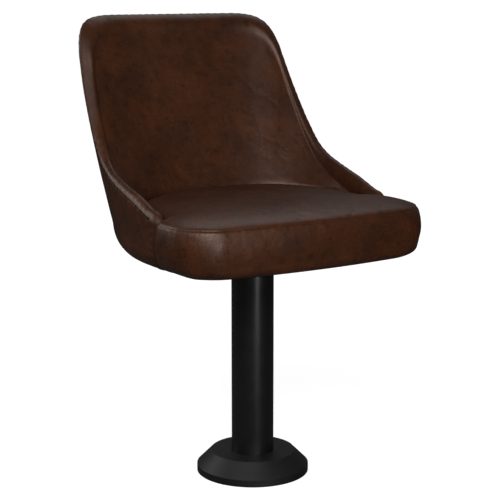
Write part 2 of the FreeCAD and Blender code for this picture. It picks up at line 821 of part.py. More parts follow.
def rail_runs(s):
    clear = skin + d("rail_gap")
    step = d("ply_bottom") - gap
    top = d("ply_bottom") + d("lap_height")
    low_level = s.curl_point(74, clear)[1]
    low = (s.outer(low_level, clear), low_level)
    bend = step - 4.0
    curl_run = [low, (s.outer((low[1] * 3 + bend) / 4, clear), (low[1] * 3 + bend) / 4),
                (s.outer(bend, clear), bend)]
    side_run = s.outer_run(bend, step, clear)
    behind = clear + d("ply_thickness") + gap / 2
    ledge = (s.outer(step, behind), step)
    lap_run = [ledge, (s.outer((step + top) / 2, behind), (step + top) / 2), (s.outer(top, behind), top)]
    inner_top = (s.inner + clear, top)
    inner_low = (s.inner + clear, low[1])
    return [curl_run, side_run, [side_run[2], ledge], lap_run, [lap_run[2], inner_top],
            [inner_top, inner_low], [inner_low, low]]


def foam_runs(s):
    clear = skin + gap
    low = d("ply_bottom") + d("lap_height") + gap
    middle = max(s.curl, low + 4.0)
    shelf = s.rim - d("ply_top") + gap
    behind = clear + d("ply_thickness") + gap
    roll = [s.roll_point(a, clear) for a in (12, 50, 90)]
    face = s.inside_run(clear)
    inner_low = (s.inner + clear, low)
    lower = s.outer_run(low, middle, behind)
    upper = s.outer_run(middle, shelf, behind)
    shelf_out = (s.outer(shelf, clear), shelf)
    return [roll, face, [face[2], inner_low], [inner_low, lower[0]], lower, upper,
            [upper[2], shelf_out], [shelf_out, roll[0]]]


def radial_wire(runs, angle):
    """Set a section's runs in the upright plane at an angle about the plan centre."""
    return closed_wire([[Vector(r * math.sin(angle), centre_y + r * math.cos(angle), z)
                         for r, z in run] for run in runs])


def flank_wire(runs, side, y):
    """Set a section's runs in a plane across the chair, ahead of the plan centre."""
    return closed_wire([[Vector(side * r, y, z) for r, z in run] for run in runs])


seam_y = -d("nose_seam")
seam_rim = d("wing_height") - 2.5


def round_the_back(runs, end_y):
    """Loft a section round the whole back, from one wing's seam to the other's."""
    wires = []
    ends = Section(math.pi / 2, seam_rim)
    wires.append(flank_wire(runs(ends), -1, end_y))
    angles = [-a for a in reversed(SECTION_ANGLES[1:])] + SECTION_ANGLES
    for degrees in angles:
        angle = math.radians(degrees)
        wires.append(radial_wire(runs(Section(angle)), angle))
    wires.append(flank_wire(runs(ends), 1, end_y))
    return loft(wires)


def nose_solid(side, inset):
    """Rounded front of a wing, from its seam forwards."""
    s = Section(math.pi / 2, seam_rim)
    middle = (s.edge + s.inner) / 2
    wires = []
    for step in (0.0, 0.35, 0.6, 0.8, 0.92, 0.975):
        narrow = math.sqrt(1 - step * step)
        low = 1 - d("nose_drop") * (1 - narrow)
        length = d("nose_length") / 0.975 - inset

        def placed(point):
            r, z = point
            return (middle + (r - middle) * narrow, foot + (z - foot) * low)

        face = s.inside_run(inset)
        bottom = [(s.inner + inset, foot + inset), s.curl_point(72, inset)]
        runs = [[s.curl_point(72, inset), s.curl_point(36, inset), s.curl_point(0, inset)],
                s.outer_run(s.curl, s.rim - 6.0, inset),
                [(s.outer(s.rim - 6.0, inset), s.rim - 6.0), s.roll_point(0, inset)],
                [s.roll_point(a, inset) for a in (0, 45, 90)],
                face,
                [face[2], bottom[0]],
                bottom]
        if inset > 0:
            edge_point = (s.edge - inset, s.rim - 6.0)
            roll_start = s.roll_point(8, inset)
            runs[2] = [edge_point, roll_start]
            runs[3] = [roll_start, s.roll_point(50, inset), s.roll_point(90, inset)]
        moved = [[placed(point) for point in run] for run in runs]
        wires.append(flank_wire(moved, side, seam_y - length * step))
    return loft(wires)


# Cushion outline and levels

step_y = seam_y - d("nose_length") - d("cushion_gap")


def cushion_wire(z, front, back, side_in=None, shrink=(1.0, 1.0, 1.0)):
    """Plan outline of the cushion, drawn in at its front, at its rear and at its sides.

    The sides are drawn in as the front is unless given. The three shares then shrink it
    towards the middle of the line of its steps: across, ahead of that line and behind it.
    """
    half = seat_half_width - (front if side_in is None else side_in)
    nose = -(d("seat_front") - front)
    shoulder_y = nose + d("seat_bow")
    corner_x = half - d("seat_corner")
    lobe = d("seat_lobe")
    step_line = step_y - back
    side_y = min(shoulder_y + d("seat_corner_depth"), step_line - lobe - 2.0)
    across = min(well_half_width - d("cushion_gap") - back, half - lobe - 1.0)
    deep = well_depth - d("cushion_gap") - back

    def rear_point(degrees):
        angle = math.radians(degrees)
        reach = superellipse(angle, across, deep, d("well_squareness"))
        return (reach * math.sin(angle), centre_y + reach * math.cos(angle))

    def placed(x, y):
        behind = y > step_line
        return Vector(x * shrink[0], step_line + (y - step_line) * shrink[2 if behind else 1], z)

    corner = [(corner_x + (half - corner_x) * math.sin(turn), side_y - (side_y - shoulder_y) * math.cos(turn))
              for turn in (0.0, math.pi / 8, math.pi / 4, 3 * math.pi / 8, math.pi / 2)]
    side = [(half, side_y), (half, step_line - lobe)]
    cut = lobe * (1 - math.sqrt(0.5))
    lobe_run = [(half, step_line - lobe), (half - cut, step_line - cut), (half - lobe, step_line)]
    step = [(half - lobe, step_line), (across, step_line)]
    inner = [(across, step_line), (across, centre_y)]
    rear = [[rear_point(turn), rear_point(turn - 9), rear_point(turn - 18)] for turn in (90, 72, 54, 36, 18)]
    right = [corner[:3], corner[2:], side, lobe_run, step, inner] + rear
    left = [[(-x, y) for x, y in run[::-1]] for run in right[::-1]]
    bow = [(-corner_x, shoulder_y), (0.0, nose), (corner_x, shoulder_y)]
    return closed_wire([[placed(x, y) for x, y in run] for run in [bow] + right + left])


def boxing_wires(inset, top):
    """Side of the cushion: rolled foot, swollen side, drawn in again at the seam."""
    start = foot + d("bottom_roll_height")
    wires = []
    for degrees in (90, 72, 54, 36, 18, 0):
        turn = math.radians(degrees)
        z = start - (d("bottom_roll_height") - inset) * math.sin(turn)
        front, side_in = (size - (size - inset) * math.cos(turn) for size in (d("bottom_roll"), d("side_roll")))
        wires.append(cushion_wire(z, front, inset, side_in))
    for share in (0.15, 0.3, 0.5, 0.7, 0.85, 1.0):
        z = start + (d("seam_height") - start) * share
        if share == 1.0:
            z = top
        swell = d("boxing_bulge") * math.sin(math.pi * share)
        wires.append(cushion_wire(z, inset - swell, inset))
    return wires


# The crown's lift above the seam, as a share of its rise, and the outline's shares there.
CROWN_LEVELS = [
    (0.0, 1.0, 1.0, 1.0),
    (0.2, 0.978, 0.955, 0.999),
    (0.4, 0.935, 0.89, 0.995),
    (0.6, 0.868, 0.79, 0.985),
    (0.77, 0.78, 0.67, 0.955),
    (0.9, 0.67, 0.53, 0.905),
    (0.97, 0.56, 0.41, 0.845),
    (1.0, 0.44, 0.30, 0.76),
]


def crown_wires(inset):
    """Top of the cushion, domed from the seam to its middle."""
    wires = []
    for lift, across, ahead, behind in CROWN_LEVELS:
        z = d("seam_height") + (d("crown_rise") - inset) * lift
        wires.append(cushion_wire(z, inset, inset, shrink=(across, ahead, behind)))
    return wires


def stack(wires):
    """Solid ruled from one outline to the next."""
    return Part.makeLoft(wires, True, True)


def top_cover_solid():
    below = cushion_wire(d("seam_height") - skin, skin, skin)
    return stack(crown_wires(0.0)).cut(stack([below] + crown_wires(skin)))


def boxing_solid():
    """Side cover of the cushion, its lower edge turned under the board."""
    top = d("seam_height") - gap
    under = d("bottom_roll") + d("flange_width")
    opening = prism(cushion_wire(foot - skin, under, d("flange_width")), 3 * skin)
    return stack(boxing_wires(0.0, top)).cut(stack(boxing_wires(skin, top + skin))).cut(opening)


def drill(shape, base, direction, radius, length):
    return shape.cut(Part.makeCylinder(radius, length, base, direction))


clear = skin + gap
seam = d("seam_height")
turned_under = d("bottom_roll") + d("flange_width")
board_foot = d("board_bottom")
board_roof = board_foot + d("board_thickness")

board_wire = cushion_wire(board_foot, d("board_edge"), clear)
seat_board = prism(board_wire, d("board_thickness"))
pocket = prism(cushion_wire(foot, d("board_edge") - gap, clear - gap / 2), board_roof + gap - foot)

boxing = boxing_solid()
top_cover = top_cover_solid()
foam = stack(boxing_wires(clear, seam) + crown_wires(clear)[1:]).cut(pocket)

cambric = prism(cushion_wire(board_foot - d("cambric_thickness"), turned_under + 2.0,
                             d("flange_width") + 2.0), d("cambric_thickness"))
window = d("seat_plate_side") + 4 * gap
cambric = cambric.cut(Part.makeBox(window, window, 6.0, Vector(-window / 2, -window / 2, board_foot - 3.0)))

up_axis = Vector(0, 0, 1)
spacing = d("seat_bolt_spacing") / 2
for sx in (-1, 1):
    for sy in (-1, 1):
        place = Vector(sx * spacing, sy * spacing, board_foot - 1.0)
        seat_board = drill(seat_board, place, up_axis, d("tee_barrel") / 2 + d("fit_gap"),
                           d("board_thickness") + 2.0)
        recess = Vector(place.x, place.y, board_roof - d("tee_flange_thickness") - d("fit_gap"))
        seat_board = drill(seat_board, recess, up_axis, d("tee_flange") / 2 + d("fit_gap"), 5.0)


# Back, layer by layer

outside_cover = round_the_back(outside_cover_runs, seam_y)
inside_cover = round_the_back(inside_cover_runs, seam_y)
ply = round_the_back(ply_runs, seam_y + gap)
rail = round_the_back(rail_runs, seam_y + gap)
padding = round_the_back(foam_runs, seam_y + gap)
for side in (-1, 1):
    inside_cover = inside_cover.fuse(nose_solid(side, 0.0).cut(nose_solid(side, skin)))
nose_pads = Part.makeCompound([nose_solid(side, clear) for side in (-1, 1)])


# Straps under the seat and their screws, and the screws of the plywood shell

def radial(angle, r, z):
    return Vector(r * math.sin(angle), centre_y + r * math.cos(angle), z)


straps = []
strap_screws = []
strap_top = foot
strap_foot = foot - d("strap_thickness")
for degrees in STRAP_ANGLES:
    angle = math.radians(degrees)
    line = well(angle)
    low = line - d("strap_inner")
    length = d("strap_inner") + d("strap_outer")
    bar = Part.makeBox(length, d("strap_width"), d("strap_thickness"),
                       Vector(low, -d("strap_width") / 2, strap_foot))
    bar = bar.makeFillet(d("strap_width") * 0.3, [e for e in bar.Edges
                         if abs(e.Vertexes[0].Z - e.Vertexes[-1].Z) > 1.0])
    bar.rotate(Vector(0, 0, 0), up_axis, 90 - degrees)
    bar.translate(Vector(0, centre_y, 0))
    for reach, depth in ((line - d("strap_board_screw"), board_roof - 2.0), (line + d("strap_rail_screw"), 428.0)):
        base = radial(angle, reach, strap_foot)
        screw = Part.makeCylinder(d("strap_screw_diameter") / 2, depth - strap_foot, base, up_axis)
        head = Part.makeCylinder(d("strap_screw_head") / 2, 2.5, base - Vector(0, 0, 2.5), up_axis)
        strap_screws.append(screw.fuse(head))
        hole = d("strap_screw_diameter") / 2 + d("fit_gap")
        below = base - Vector(0, 0, 1.0)
        bar = drill(bar, below, up_axis, hole, 10.0)
        seat_board = drill(seat_board, below, up_axis, hole, depth - strap_foot + 1.5)
        boxing = drill(boxing, below, up_axis, hole, depth - strap_foot + 1.5)
        rail = drill(rail, below, up_axis, hole, depth - strap_foot + 1.5)
        outside_cover = drill(outside_cover, below, up_axis, hole, depth - strap_foot + 1.5)
    straps.append(bar)

shell_screws = []
screw_height = d("ply_bottom") + d("lap_height") / 2
for degrees in SHELL_SCREW_ANGLES:
    angle = math.radians(degrees)
    start = Section(angle).outer(screw_height, clear) - 0.6
    inward = radial(angle, -1.0, 0) - radial(angle, 0, 0)
    place = radial(angle, start, screw_height)
    shell_screws.append(Part.makeCylinder(d("shell_screw_diameter") / 2, d("shell_screw_length"), place, inward))
    hole = d("shell_screw_diameter") / 2 + d("fit_gap")
    outer_place = radial(angle, start + 5.0, screw_height)
    ply = drill(ply, outer_place, inward, hole, d("shell_screw_length") + 5.5)
    rail = drill(rail, outer_place, inward, hole, d("shell_screw_length") + 5.5)

soft_node("seat_board", seat_board)
soft_node("seat_foam", foam)
soft_node("seat_top_cover", top_cover)
soft_node("seat_boxing", boxing)
soft_node("dust_cover", cambric)
soft_node("back_rail", rail)
soft_node("back_shell", ply)
soft_node("back_foam", padding)
soft_node("nose_pads", nose_pads)
soft_node("inside_back_cover", inside_cover)
soft_node("outside_back_cover", outside_cover)
soft_node("back_straps", Part.makeCompound(straps))
soft_node("strap_screws", Part.makeCompound(strap_screws))
soft_node("shell_screws", Part.makeCompound(shell_screws))

doc.recompute()

for item in doc.Objects:
    if "Invalid" in item.State or "Error" in item.State:
        raise RuntimeError("%s failed: %s" % (item.Label, item.State))
for item in nodes:
    shape = item.Shape
    if shape.isNull() or not shape.isValid() or not shape.Solids:
        raise RuntimeError("%s has no valid solid" % item.Label)

os.makedirs("parts", exist_ok=True)
for item in nodes:
    item.Shape.exportStep("parts/%s.step" % item.Label)
    box = item.Shape.BoundBox
    print("%-20s solids %2d  volume %10.0f  z %.1f to %.1f"
          % (item.Label, len(item.Shape.Solids), item.Shape.Volume, box.ZMin, box.ZMax))
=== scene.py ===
import math

import bpy
import numpy as np
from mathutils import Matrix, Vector, kdtree, noise


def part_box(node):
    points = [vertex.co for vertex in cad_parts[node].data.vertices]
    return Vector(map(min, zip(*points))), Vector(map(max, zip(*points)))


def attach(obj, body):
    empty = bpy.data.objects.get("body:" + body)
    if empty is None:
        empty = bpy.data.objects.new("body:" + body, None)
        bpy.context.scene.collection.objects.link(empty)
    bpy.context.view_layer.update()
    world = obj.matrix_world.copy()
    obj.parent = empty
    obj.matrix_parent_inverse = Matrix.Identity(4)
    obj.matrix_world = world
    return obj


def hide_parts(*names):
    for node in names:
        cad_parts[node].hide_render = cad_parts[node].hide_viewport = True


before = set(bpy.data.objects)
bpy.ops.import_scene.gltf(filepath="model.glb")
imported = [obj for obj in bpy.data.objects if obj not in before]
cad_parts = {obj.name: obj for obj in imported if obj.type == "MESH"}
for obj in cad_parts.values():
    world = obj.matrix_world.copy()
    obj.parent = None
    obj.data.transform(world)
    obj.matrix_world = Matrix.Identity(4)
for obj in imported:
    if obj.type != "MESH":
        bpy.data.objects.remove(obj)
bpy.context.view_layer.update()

# Sizes in millimetres, in the frame's axes. The back's plan is drawn about a centre ahead
# of the column, and its sections stand at angles from the middle of the back.
MM = 0.001
PLAN_CENTRE = -50.0
FOOT = 406.8
SEAT_LEVEL = 500.0
BACK_TOP = 819.0
RISE = BACK_TOP - SEAT_LEVEL

# Outer plan of the back, a superellipse: half its width and its depth at seat level, what
# they gain towards the top, and the power, with its gain half way up and its loss below
# the seat
OUTER_ACROSS, TOP_FLARE = 239.5, 30.5
OUTER_DEEP, LEAN, LEAN_BOW = 245.0, math.tan(math.radians(18.6)), 12.0
OUTER_POWER, POWER_GAIN, POWER_LOSS, LEAST_POWER = 4.2, 1.4, 4.0, 2.2
PLAN_LEVEL, COLUMN_STEP, PLAN_POINTS = 640.0, 3.2, 2001

# Inner plan of the back, beside the cushion
WELL_ACROSS, WELL_DEEP, WELL_POWER = 213.0, 198.0, 2.6

# Height of the rim by angle, as a share of the rise
RIM_ANGLE = np.array([0, 22, 27, 30.6, 33.4, 35.4, 38, 41.5, 46.6, 53, 60, 70, 80, 90.0])
RIM_SHARE = np.array([1, 1, .988, .957, .90, .83, .70, .545, .367, .22, .145, .088, .045, 0])
SEAM_RIM = SEAT_LEVEL - 2.5

# The roll over the rim, which narrows towards the wings, and the crest that swells on it
# there. Each starts at an angle and is full after a span, in degrees.
ROLL, ROLL_LOSS, ROLL_START, ROLL_SPAN = 34.0, 9.0, 30.0, 25.0
WING_CREST, CREST_START = 10.0, 44.0
END_CREST, END_START = 5.0, 60.0
CREST_SPAN, CREST_FULLNESS = 18.0, 0.9
KNEE_DROP = 6.0
FACE_BOW = 4.0
INSIDE_FOOT = FOOT + 0.5

# The rolled edge at the foot of the outside
CURL_RATIO, CURL_LEVEL, CURL_TURN = 1.05, FOOT + 60.0, 86.0

# The rim's seam: how far each point lies inside and below the rim's outer edge
INSIDE_FOLD = ((2.4, 6.0), (0.4, 4.2))
ROLL_EDGE = (0.2, 2.0)
OUTSIDE_TOP = 4.2
OUTSIDE_FOLD = ((1.0, 0.2), (3.0, 1.4))

# Points along each stretch of a section, and rounds of softening
ROLL_POINTS, FACE_POINTS, WELL_POINTS, INSIDE_ROUNDS = 26, 96, 24, 10
CURL_POINTS, SIDE_POINTS, OUTSIDE_ROUNDS = 20, 110, 4

# The wings' rounded fronts, and the outside cover's ends tucked in at their seams
NOSE_SEAM, NOSE_LENGTH, NOSE_DROP = -60.0, 31.0, 0.37
NOSE_COLUMNS, NOSE_TURN = 26, 89.5
TIP_LIFT = 15.0
END_LAP, TUCK_LENGTH, TUCK_DEPTH = 0.6, 2.0, 1.4

# Cushion: its plan at the seam, with the rounded front corners and the lobes that stand
# before the wings
CUSHION_GAP = 1.1
CUSHION_HALF, CUSHION_FRONT, FRONT_BOW = 245.6, 219.8, 9.5
CORNER_ACROSS, CORNER_DEEP = 72.0, 82.0
LOBE, LEAST_SIDE, LEAST_STEP = 12.0, 2.0, 1.0
CORNER_POINTS, STRAIGHT_POINTS, LOBE_POINTS, STEP_POINTS = 30, 14, 9, 9
INNER_POINTS, REAR_POINTS, BOW_POINTS = 12, 70, 36

# Cushion rows: on the underside the cuts from the front, back and side and the share of the
# plan, then the lower roll, the swelling side and the crown. The crown's columns are the
# share of its rise and the shares of the plan's width, front and rear.
SEAM_HEIGHT, CROWN_RISE = 492.0, 17.0
UNDERSIDE = ((60.0, 60.0, None, 0.02), (60.0, 60.0, None, 0.5),
             (36.0, 22.0, None, 1.0), (26.0, 10.0, 31.0, 1.0))
LOWER_ROLL_HEIGHT = 18.0
LOWER_ROLL_FRONT, LOWER_ROLL_BACK, LOWER_ROLL_SIDE = 20.0, 2.0, 28.0
SIDE_SWELL = 4.5
LOWER_ROLL_ROWS, SIDE_ROWS, CROWN_ROWS = 10, 20, 46
CROWN = np.array([
    (0.0, 1.0, 1.0, 1.0),
    (0.2, 0.978, 0.955, 0.999),
    (0.4, 0.935, 0.89, 0.995),
    (0.6, 0.868, 0.79, 0.985),
    (0.77, 0.78, 0.67, 0.955),
    (0.9, 0.67, 0.53, 0.905),
    (0.97, 0.56, 0.41, 0.845),
    (1.0, 0.44, 0.30, 0.76),
    (1.0, 0.22, 0.15, 0.4),
    (1.0, 0.02, 0.01, 0.03),
])
CUSHION_VOXEL, CUSHION_ROUNDS = 2.2, 8

# The cushion's lower edge is lifted before the wings' tips, over these heights, distances
# from the middle and depths
CORNER_LIFT = 7.5
LIFT_HEIGHTS, LIFT_SIDES = (410.0, 452.0), (210.0, 236.0)
LIFT_FRONT, LIFT_BACK = (-225.0, -130.0), (-110.0, -85.0)

# Soft surfaces. Padding is size, seed and height of each swell, creases are size, seed,
# stretch and depth, and a seam is drawn in by each depth and width.
CUSHION_PADDING, CUSHION_FULLNESS = ((95.0, 1, 1.4), (34.0, 2, 0.35)), 0.6
INSIDE_PADDING, INSIDE_FULLNESS = ((120.0, 11, 1.2), (38.0, 12, 0.3)), 0.55
OUTSIDE_PADDING, OUTSIDE_FULLNESS = ((130.0, 21, 1.0), (40.0, 22, 0.25)), 0.5
CUSHION_CREASES = ((55.0, 5, (1.0, 1.0, 0.5), 0.45), (24.0, 6, (1.0, 1.6, 0.6), 0.22))
INSIDE_CREASES = ((42.0, 15, (1.0, 1.0, 0.6), 0.4),)
INSIDE_CRINKLES = ((18.0, 16, (1, 1, 1), 0.3),)
OUTSIDE_CREASES = ((50.0, 25, (1.0, 1.0, 0.4), 0.3),)
INSIDE_CREASING = 0.8
CREASE_SHARPNESS = 5
CUSHION_DRAW = ((1.8, 1.6), (0.6, 6.0))
INSIDE_DRAW = ((0.9, 3.0),)
OUTSIDE_DRAW = ((0.8, 3.0),)
CUSHION_PUCKERS = {"pitch": 13.0, "sway": 2.0, "size": 60.0, "seed": 4, "depth": 0.14, "reach": 9.0}
INSIDE_PUCKERS = {"pitch": 15.0, "sway": 2.5, "size": 70.0, "seed": 14, "depth": 0.35, "reach": 14.0}
OUTSIDE_PUCKERS = {"pitch": 17.0, "sway": 2.5, "size": 70.0, "seed": 24, "depth": 0.25, "reach": 12.0}

# Folds round the cushion's front corners: where the corners are, and the folds' size
FOLD_CORNER, FOLD_SPREAD = (232.0, -192.0), 34.0
FOLD_PITCH, FOLD_DEPTH, FOLD_REACH = 9.5, 0.12, 22.0
UNDERSIDE_STILL = (FOOT + 1.0, FOOT + 14.0)

# Crinkled patch low on the inside's right half: its middle and its spread, across and up
CRINKLE_PLACE, CRINKLE_SPREAD = (110, 585), (90, 55)

# Tucks under the wings' fronts
TUCK_FRONT, TUCK_HEIGHTS, TUCK_PITCH, TUCK_PHASE = (-66.0, -58.0), (425.0, 462.0), 9.0, 0.6
TUCK_RELIEF, TUCK_LOW, TUCK_HIGH = 1.1, -0.2, 1.0

# Stitches on the cushion's top seam: rings along a thread as places and sizes
STITCH_PITCH, STITCH_LENGTH, STITCH_RADIUS, STITCH_SIDES = 6.0, 4.2, 0.42, 6
STITCH_RINGS = ((-0.5, 0.45), (-0.3, 1.0), (0.3, 1.0), (0.5, 0.45))
STITCH_DIP = 0.8
STITCH_INSET, STITCH_SHARES, STITCH_RISE = 1.6, (0.9935, 0.98, 0.999), 2.0

# Dust cover: set in from the cushion, with a square window for the seat plate
CLOTH_FRONT, CLOTH_BACK, CLOTH_WINDOW = 46.0, 33.0, 91.5
CLOTH_ROWS, CLOTH_GAP, CLOTH_SAG = 24, 0.1, 0.5
RIPPLE_DEPTH, RIPPLE_TURN = 0.35, 0.9


def superellipse(angle, across, deep, power):
    wide, long = abs(math.sin(angle)) / across, abs(math.cos(angle)) / deep
    return (wide ** power + long ** power) ** (-1 / power)


def smooth_line(x, xs, ys):
    """Smooth monotone curve through the points, flat beyond them."""
    slopes = np.diff(ys) / np.diff(xs)
    ends = np.zeros(len(xs))
    for k in range(1, len(xs) - 1):
        a, b = slopes[k - 1], slopes[k]
        ends[k] = 0.0 if a * b <= 0 else 2 * a * b / (a + b)
    ends[-1] = slopes[-1]
    x = min(max(x, xs[0]), xs[-1])
    i = min(int(np.searchsorted(xs, x, side="right")) - 1, len(xs) - 2)
    span = xs[i + 1] - xs[i]
    t = (x - xs[i]) / span
    return (ys[i] * (1 + 2 * t) * (1 - t) ** 2 + ends[i] * span * t * (1 - t) ** 2
            + ys[i + 1] * t * t * (3 - 2 * t) - ends[i + 1] * span * t * t * (1 - t))


def clamp(x):
    return min(1.0, max(0.0, x))


def outside(angle, z):
    """Distance from the plan centre to the outer surface of the back."""
    share = (z - SEAT_LEVEL) / RISE
    up = max(0.0, share)
    across = OUTER_ACROSS + TOP_FLARE * up ** 3
    deep = OUTER_DEEP + LEAN * (z - SEAT_LEVEL) + LEAN_BOW * up * (1 - up)
    power = OUTER_POWER + POWER_GAIN * math.sin(math.pi * min(1.0, up))
    if share < 0:
        power = max(LEAST_POWER, power + POWER_LOSS * share)
    return superellipse(angle, across, deep, power)


def well(angle):
    """Distance from the plan centre to the inner surface beside the cushion."""
    return superellipse(angle, WELL_ACROSS, WELL_DEEP, WELL_POWER)


def parabola(points, count):
    """Points on the smooth parabola through three points."""
    a, b, c = (np.array(p, float) for p in points)
    t = np.linspace(0, 1, count)[:, None]
    return a * (1 - t) * (1 - 2 * t) + b * 4 * t * (1 - t) + c * t * (2 * t - 1)


def on_circle(points, z):
    """Radius at a height on the circle through three points of radius and height."""
    (r1, z1), (r2, z2), (r3, z3) = points
    cross = (r2 - r1) * (z3 - z1) - (z2 - z1) * (r3 - r1)
    if abs(cross) < 1e-6:
        return r1 + (r3 - r1) * (z - z1) / (z3 - z1)
    a = (r2 - r1) ** 2 + (z2 - z1) ** 2
    b = (r3 - r1) ** 2 + (z3 - z1) ** 2
    middle_r = r1 + ((z3 - z1) * a - (z2 - z1) * b) / (2 * cross)
    middle_z = z1 + ((r2 - r1) * b - (r3 - r1) * a) / (2 * cross)
    reach = (r1 - middle_r) ** 2 + (z1 - middle_z) ** 2 - (z - middle_z) ** 2
    across = math.sqrt(max(0.0, reach))
    return middle_r + across if r2 > middle_r else middle_r - across


def relax(points, rounds):
    """Soften the corners of a line of points, its ends kept."""
    for _ in range(rounds):
        points[1:-1] = points[1:-1] * 0.5 + (points[:-2] + points[2:]) * 0.25
    return points


class Section:
    """An upright section of the back at an angle from its middle."""

    def __init__(self, angle, rim=None):
        degrees = abs(math.degrees(angle))
        if rim is None:
            rim = SEAT_LEVEL + RISE * smooth_line(degrees, RIM_ANGLE, RIM_SHARE)
        self.angle = angle
        self.rim = rim
        self.inner = well(angle)
        self.curl = FOOT + CURL_RATIO * (outside(angle, CURL_LEVEL) - self.inner)
        self.roll = ROLL - ROLL_LOSS * clamp((degrees - ROLL_START) / ROLL_SPAN)
        self.edge = outside(angle, self.rim)
        self.turn = self.rim - self.roll
        self.knee = min(SEAT_LEVEL, self.turn - KNEE_DROP)
        self.crest = WING_CREST * clamp((degrees - CREST_START) / CREST_SPAN)
        self.crest += END_CREST * clamp((degrees - END_START) / CREST_SPAN)

    def inside_line(self):
        """Radius and height from the seam over the roll and down to the foot."""
        turn = np.radians(np.linspace(0, 90, ROLL_POINTS))
        swell = self.crest * np.sin(2 * turn) ** CREST_FULLNESS
        roll = np.stack([self.edge - self.roll * np.sin(turn),
                         self.turn + self.roll * np.cos(turn) + swell], 1)
        roll[0] = (self.edge - ROLL_EDGE[0], self.rim - ROLL_EDGE[1])
        fold = np.array([[self.edge - inward, self.rim - down] for inward, down in INSIDE_FOLD])
        start, end = roll[-1], np.array([self.inner, self.knee])
        middle = (start + end) / 2 + np.array([FACE_BOW * (start[1] - end[1]) / RISE, 0])
        face = parabola([start, middle, end], FACE_POINTS)[1:]
        low = np.linspace([self.inner, self.knee], [self.inner, INSIDE_FOOT], WELL_POINTS)[1:]
        return np.concatenate([fold, relax(np.concatenate([roll, face, low]), INSIDE_ROUNDS)])

    def outside_line(self):
        """Radius and height from the foot round the curl and up to the seam."""
        width = outside(self.angle, self.curl) - self.inner
        height = self.curl - FOOT
        turn = np.radians(np.linspace(CURL_TURN, 0, CURL_POINTS))
        curl = np.stack([self.inner + width * np.cos(turn), self.curl - height * np.sin(turn)], 1)
        top = self.rim - OUTSIDE_TOP
        three = [(outside(self.angle, z), z) for z in (self.curl, (self.curl + self.rim) / 2, self.rim)]
        side = np.array([[on_circle(three, z), z] for z in np.linspace(self.curl, top, SIDE_POINTS)[1:]])
        fold = np.array([[self.edge - inward, top - down] for inward, down in OUTSIDE_FOLD])
        return np.concatenate([relax(np.concatenate([curl, side]), OUTSIDE_ROUNDS), fold])


def lengths_along(line):
    """Length from the start of a line of points to each of them."""
    return np.concatenate([[0], np.cumsum(np.linalg.norm(np.diff(line, axis=0), axis=1))])


def even_angles(level, step):
    """Angles round the back that step evenly along its outer plan at a height."""
    fine = np.radians(np.linspace(-90, 90, PLAN_POINTS))
    plan = np.array([[outside(a, level) * math.sin(a), outside(a, level) * math.cos(a)] for a in fine])
    along = lengths_along(plan)
    return np.interp(np.linspace(0, along[-1], int(along[-1] / step)), along, fine)


def dense(line, step, closed):
    """Evenly spaced points along a line of points, and the line's length."""
    if closed:
        line = np.concatenate([line, line[:1]])
    along = lengths_along(line)
    spots = np.linspace(0, along[-1], int(along[-1] / step) + 1)
    return np.stack([np.interp(spots, along, line[:, k]) for k in range(3)], 1), along[-1]


def column(section, line):
    """A section's line stood up at its angle."""
    a = section.angle
    r = line[:, 0]
    return np.stack([r * math.sin(a), PLAN_CENTRE + r * math.cos(a), line[:, 1]], 1)


def flank(line, side, y):
    """A section's line stood up across the chair, at a depth."""
    return np.stack([side * line[:, 0], np.full(len(line), y), line[:, 1]], 1)


def level(outline, z):
    """A plan outline at a height."""
    return np.concatenate([outline, np.full((len(outline), 1), z)], 1)


def grid_faces(rows, cols, wrap=False, offset=0, flip=False):
    faces = []
    for i in range(rows - 1):
        here, above = offset + i * cols, offset + (i + 1) * cols
        for j in range(cols if wrap else cols - 1):
            k = (j + 1) % cols
            quad = [here + j, above + j, above + k, here + k]
            faces.append(quad[::-1] if flip else quad)
    return faces


def placed(name, data):
    """An object for the data, in the scene."""
    item = bpy.data.objects.new(name, data)
    bpy.context.scene.collection.objects.link(item)
    return item


def shade_smooth(mesh):
    mesh.polygons.foreach_set("use_smooth", [True] * len(mesh.polygons))


def mesh_object(name, points, faces):
    mesh = bpy.data.meshes.new(name)
    mesh.from_pydata((points * MM).tolist(), [], faces)
    mesh.validate()
    shade_smooth(mesh)
    return placed(name, mesh)


def apply_modifiers(item):
    bpy.context.view_layer.update()
    graph = bpy.context.evaluated_depsgraph_get()
    mesh = bpy.data.meshes.new_from_object(item.evaluated_get(graph))
    item.modifiers.clear()
    item.data = mesh
    shade_smooth(mesh)


def weld(item, distance=0.05):
    modifier = item.modifiers.new("weld", "WELD")
    modifier.merge_threshold = distance * MM
    apply_modifiers(item)


def places_and_normals(item):
    count = len(item.data.vertices)
    places = np.empty(count * 3)
    normals = np.empty(count * 3, np.float32)
    item.data.vertices.foreach_get("co", places)
    item.data.vertex_normals.foreach_get("vector", normals)
    return places.reshape(-1, 3) / MM, normals.reshape(-1, 3).astype(float)


def set_places(item, places):
    item.data.vertices.foreach_set("co", (places * MM).ravel())
    item.data.update()


def near_line(places, line):
    """Distance to a line of points and the share along it, for each place."""
    tree = kdtree.KDTree(len(line))
    for i, point in enumerate(line):
        tree.insert(Vector(point), i)
    tree.balance()
    found = [tree.find(Vector(p)) for p in places]
    return np.array([f[2] for f in found]), np.array([f[1] for f in found]) / len(line)


def soft_step(x, low, high):
    """0 below the first value and 1 above the second."""
    t = np.clip((x - low) / (high - low), 0, 1)
    return t * t * (3 - 2 * t)


def soft_fall(x, low, high):
    """1 below the first value and 0 above the second."""
    return soft_step(-x, -high, -low)


def bell(distance, width):
    return np.exp(-(distance / width) ** 2)


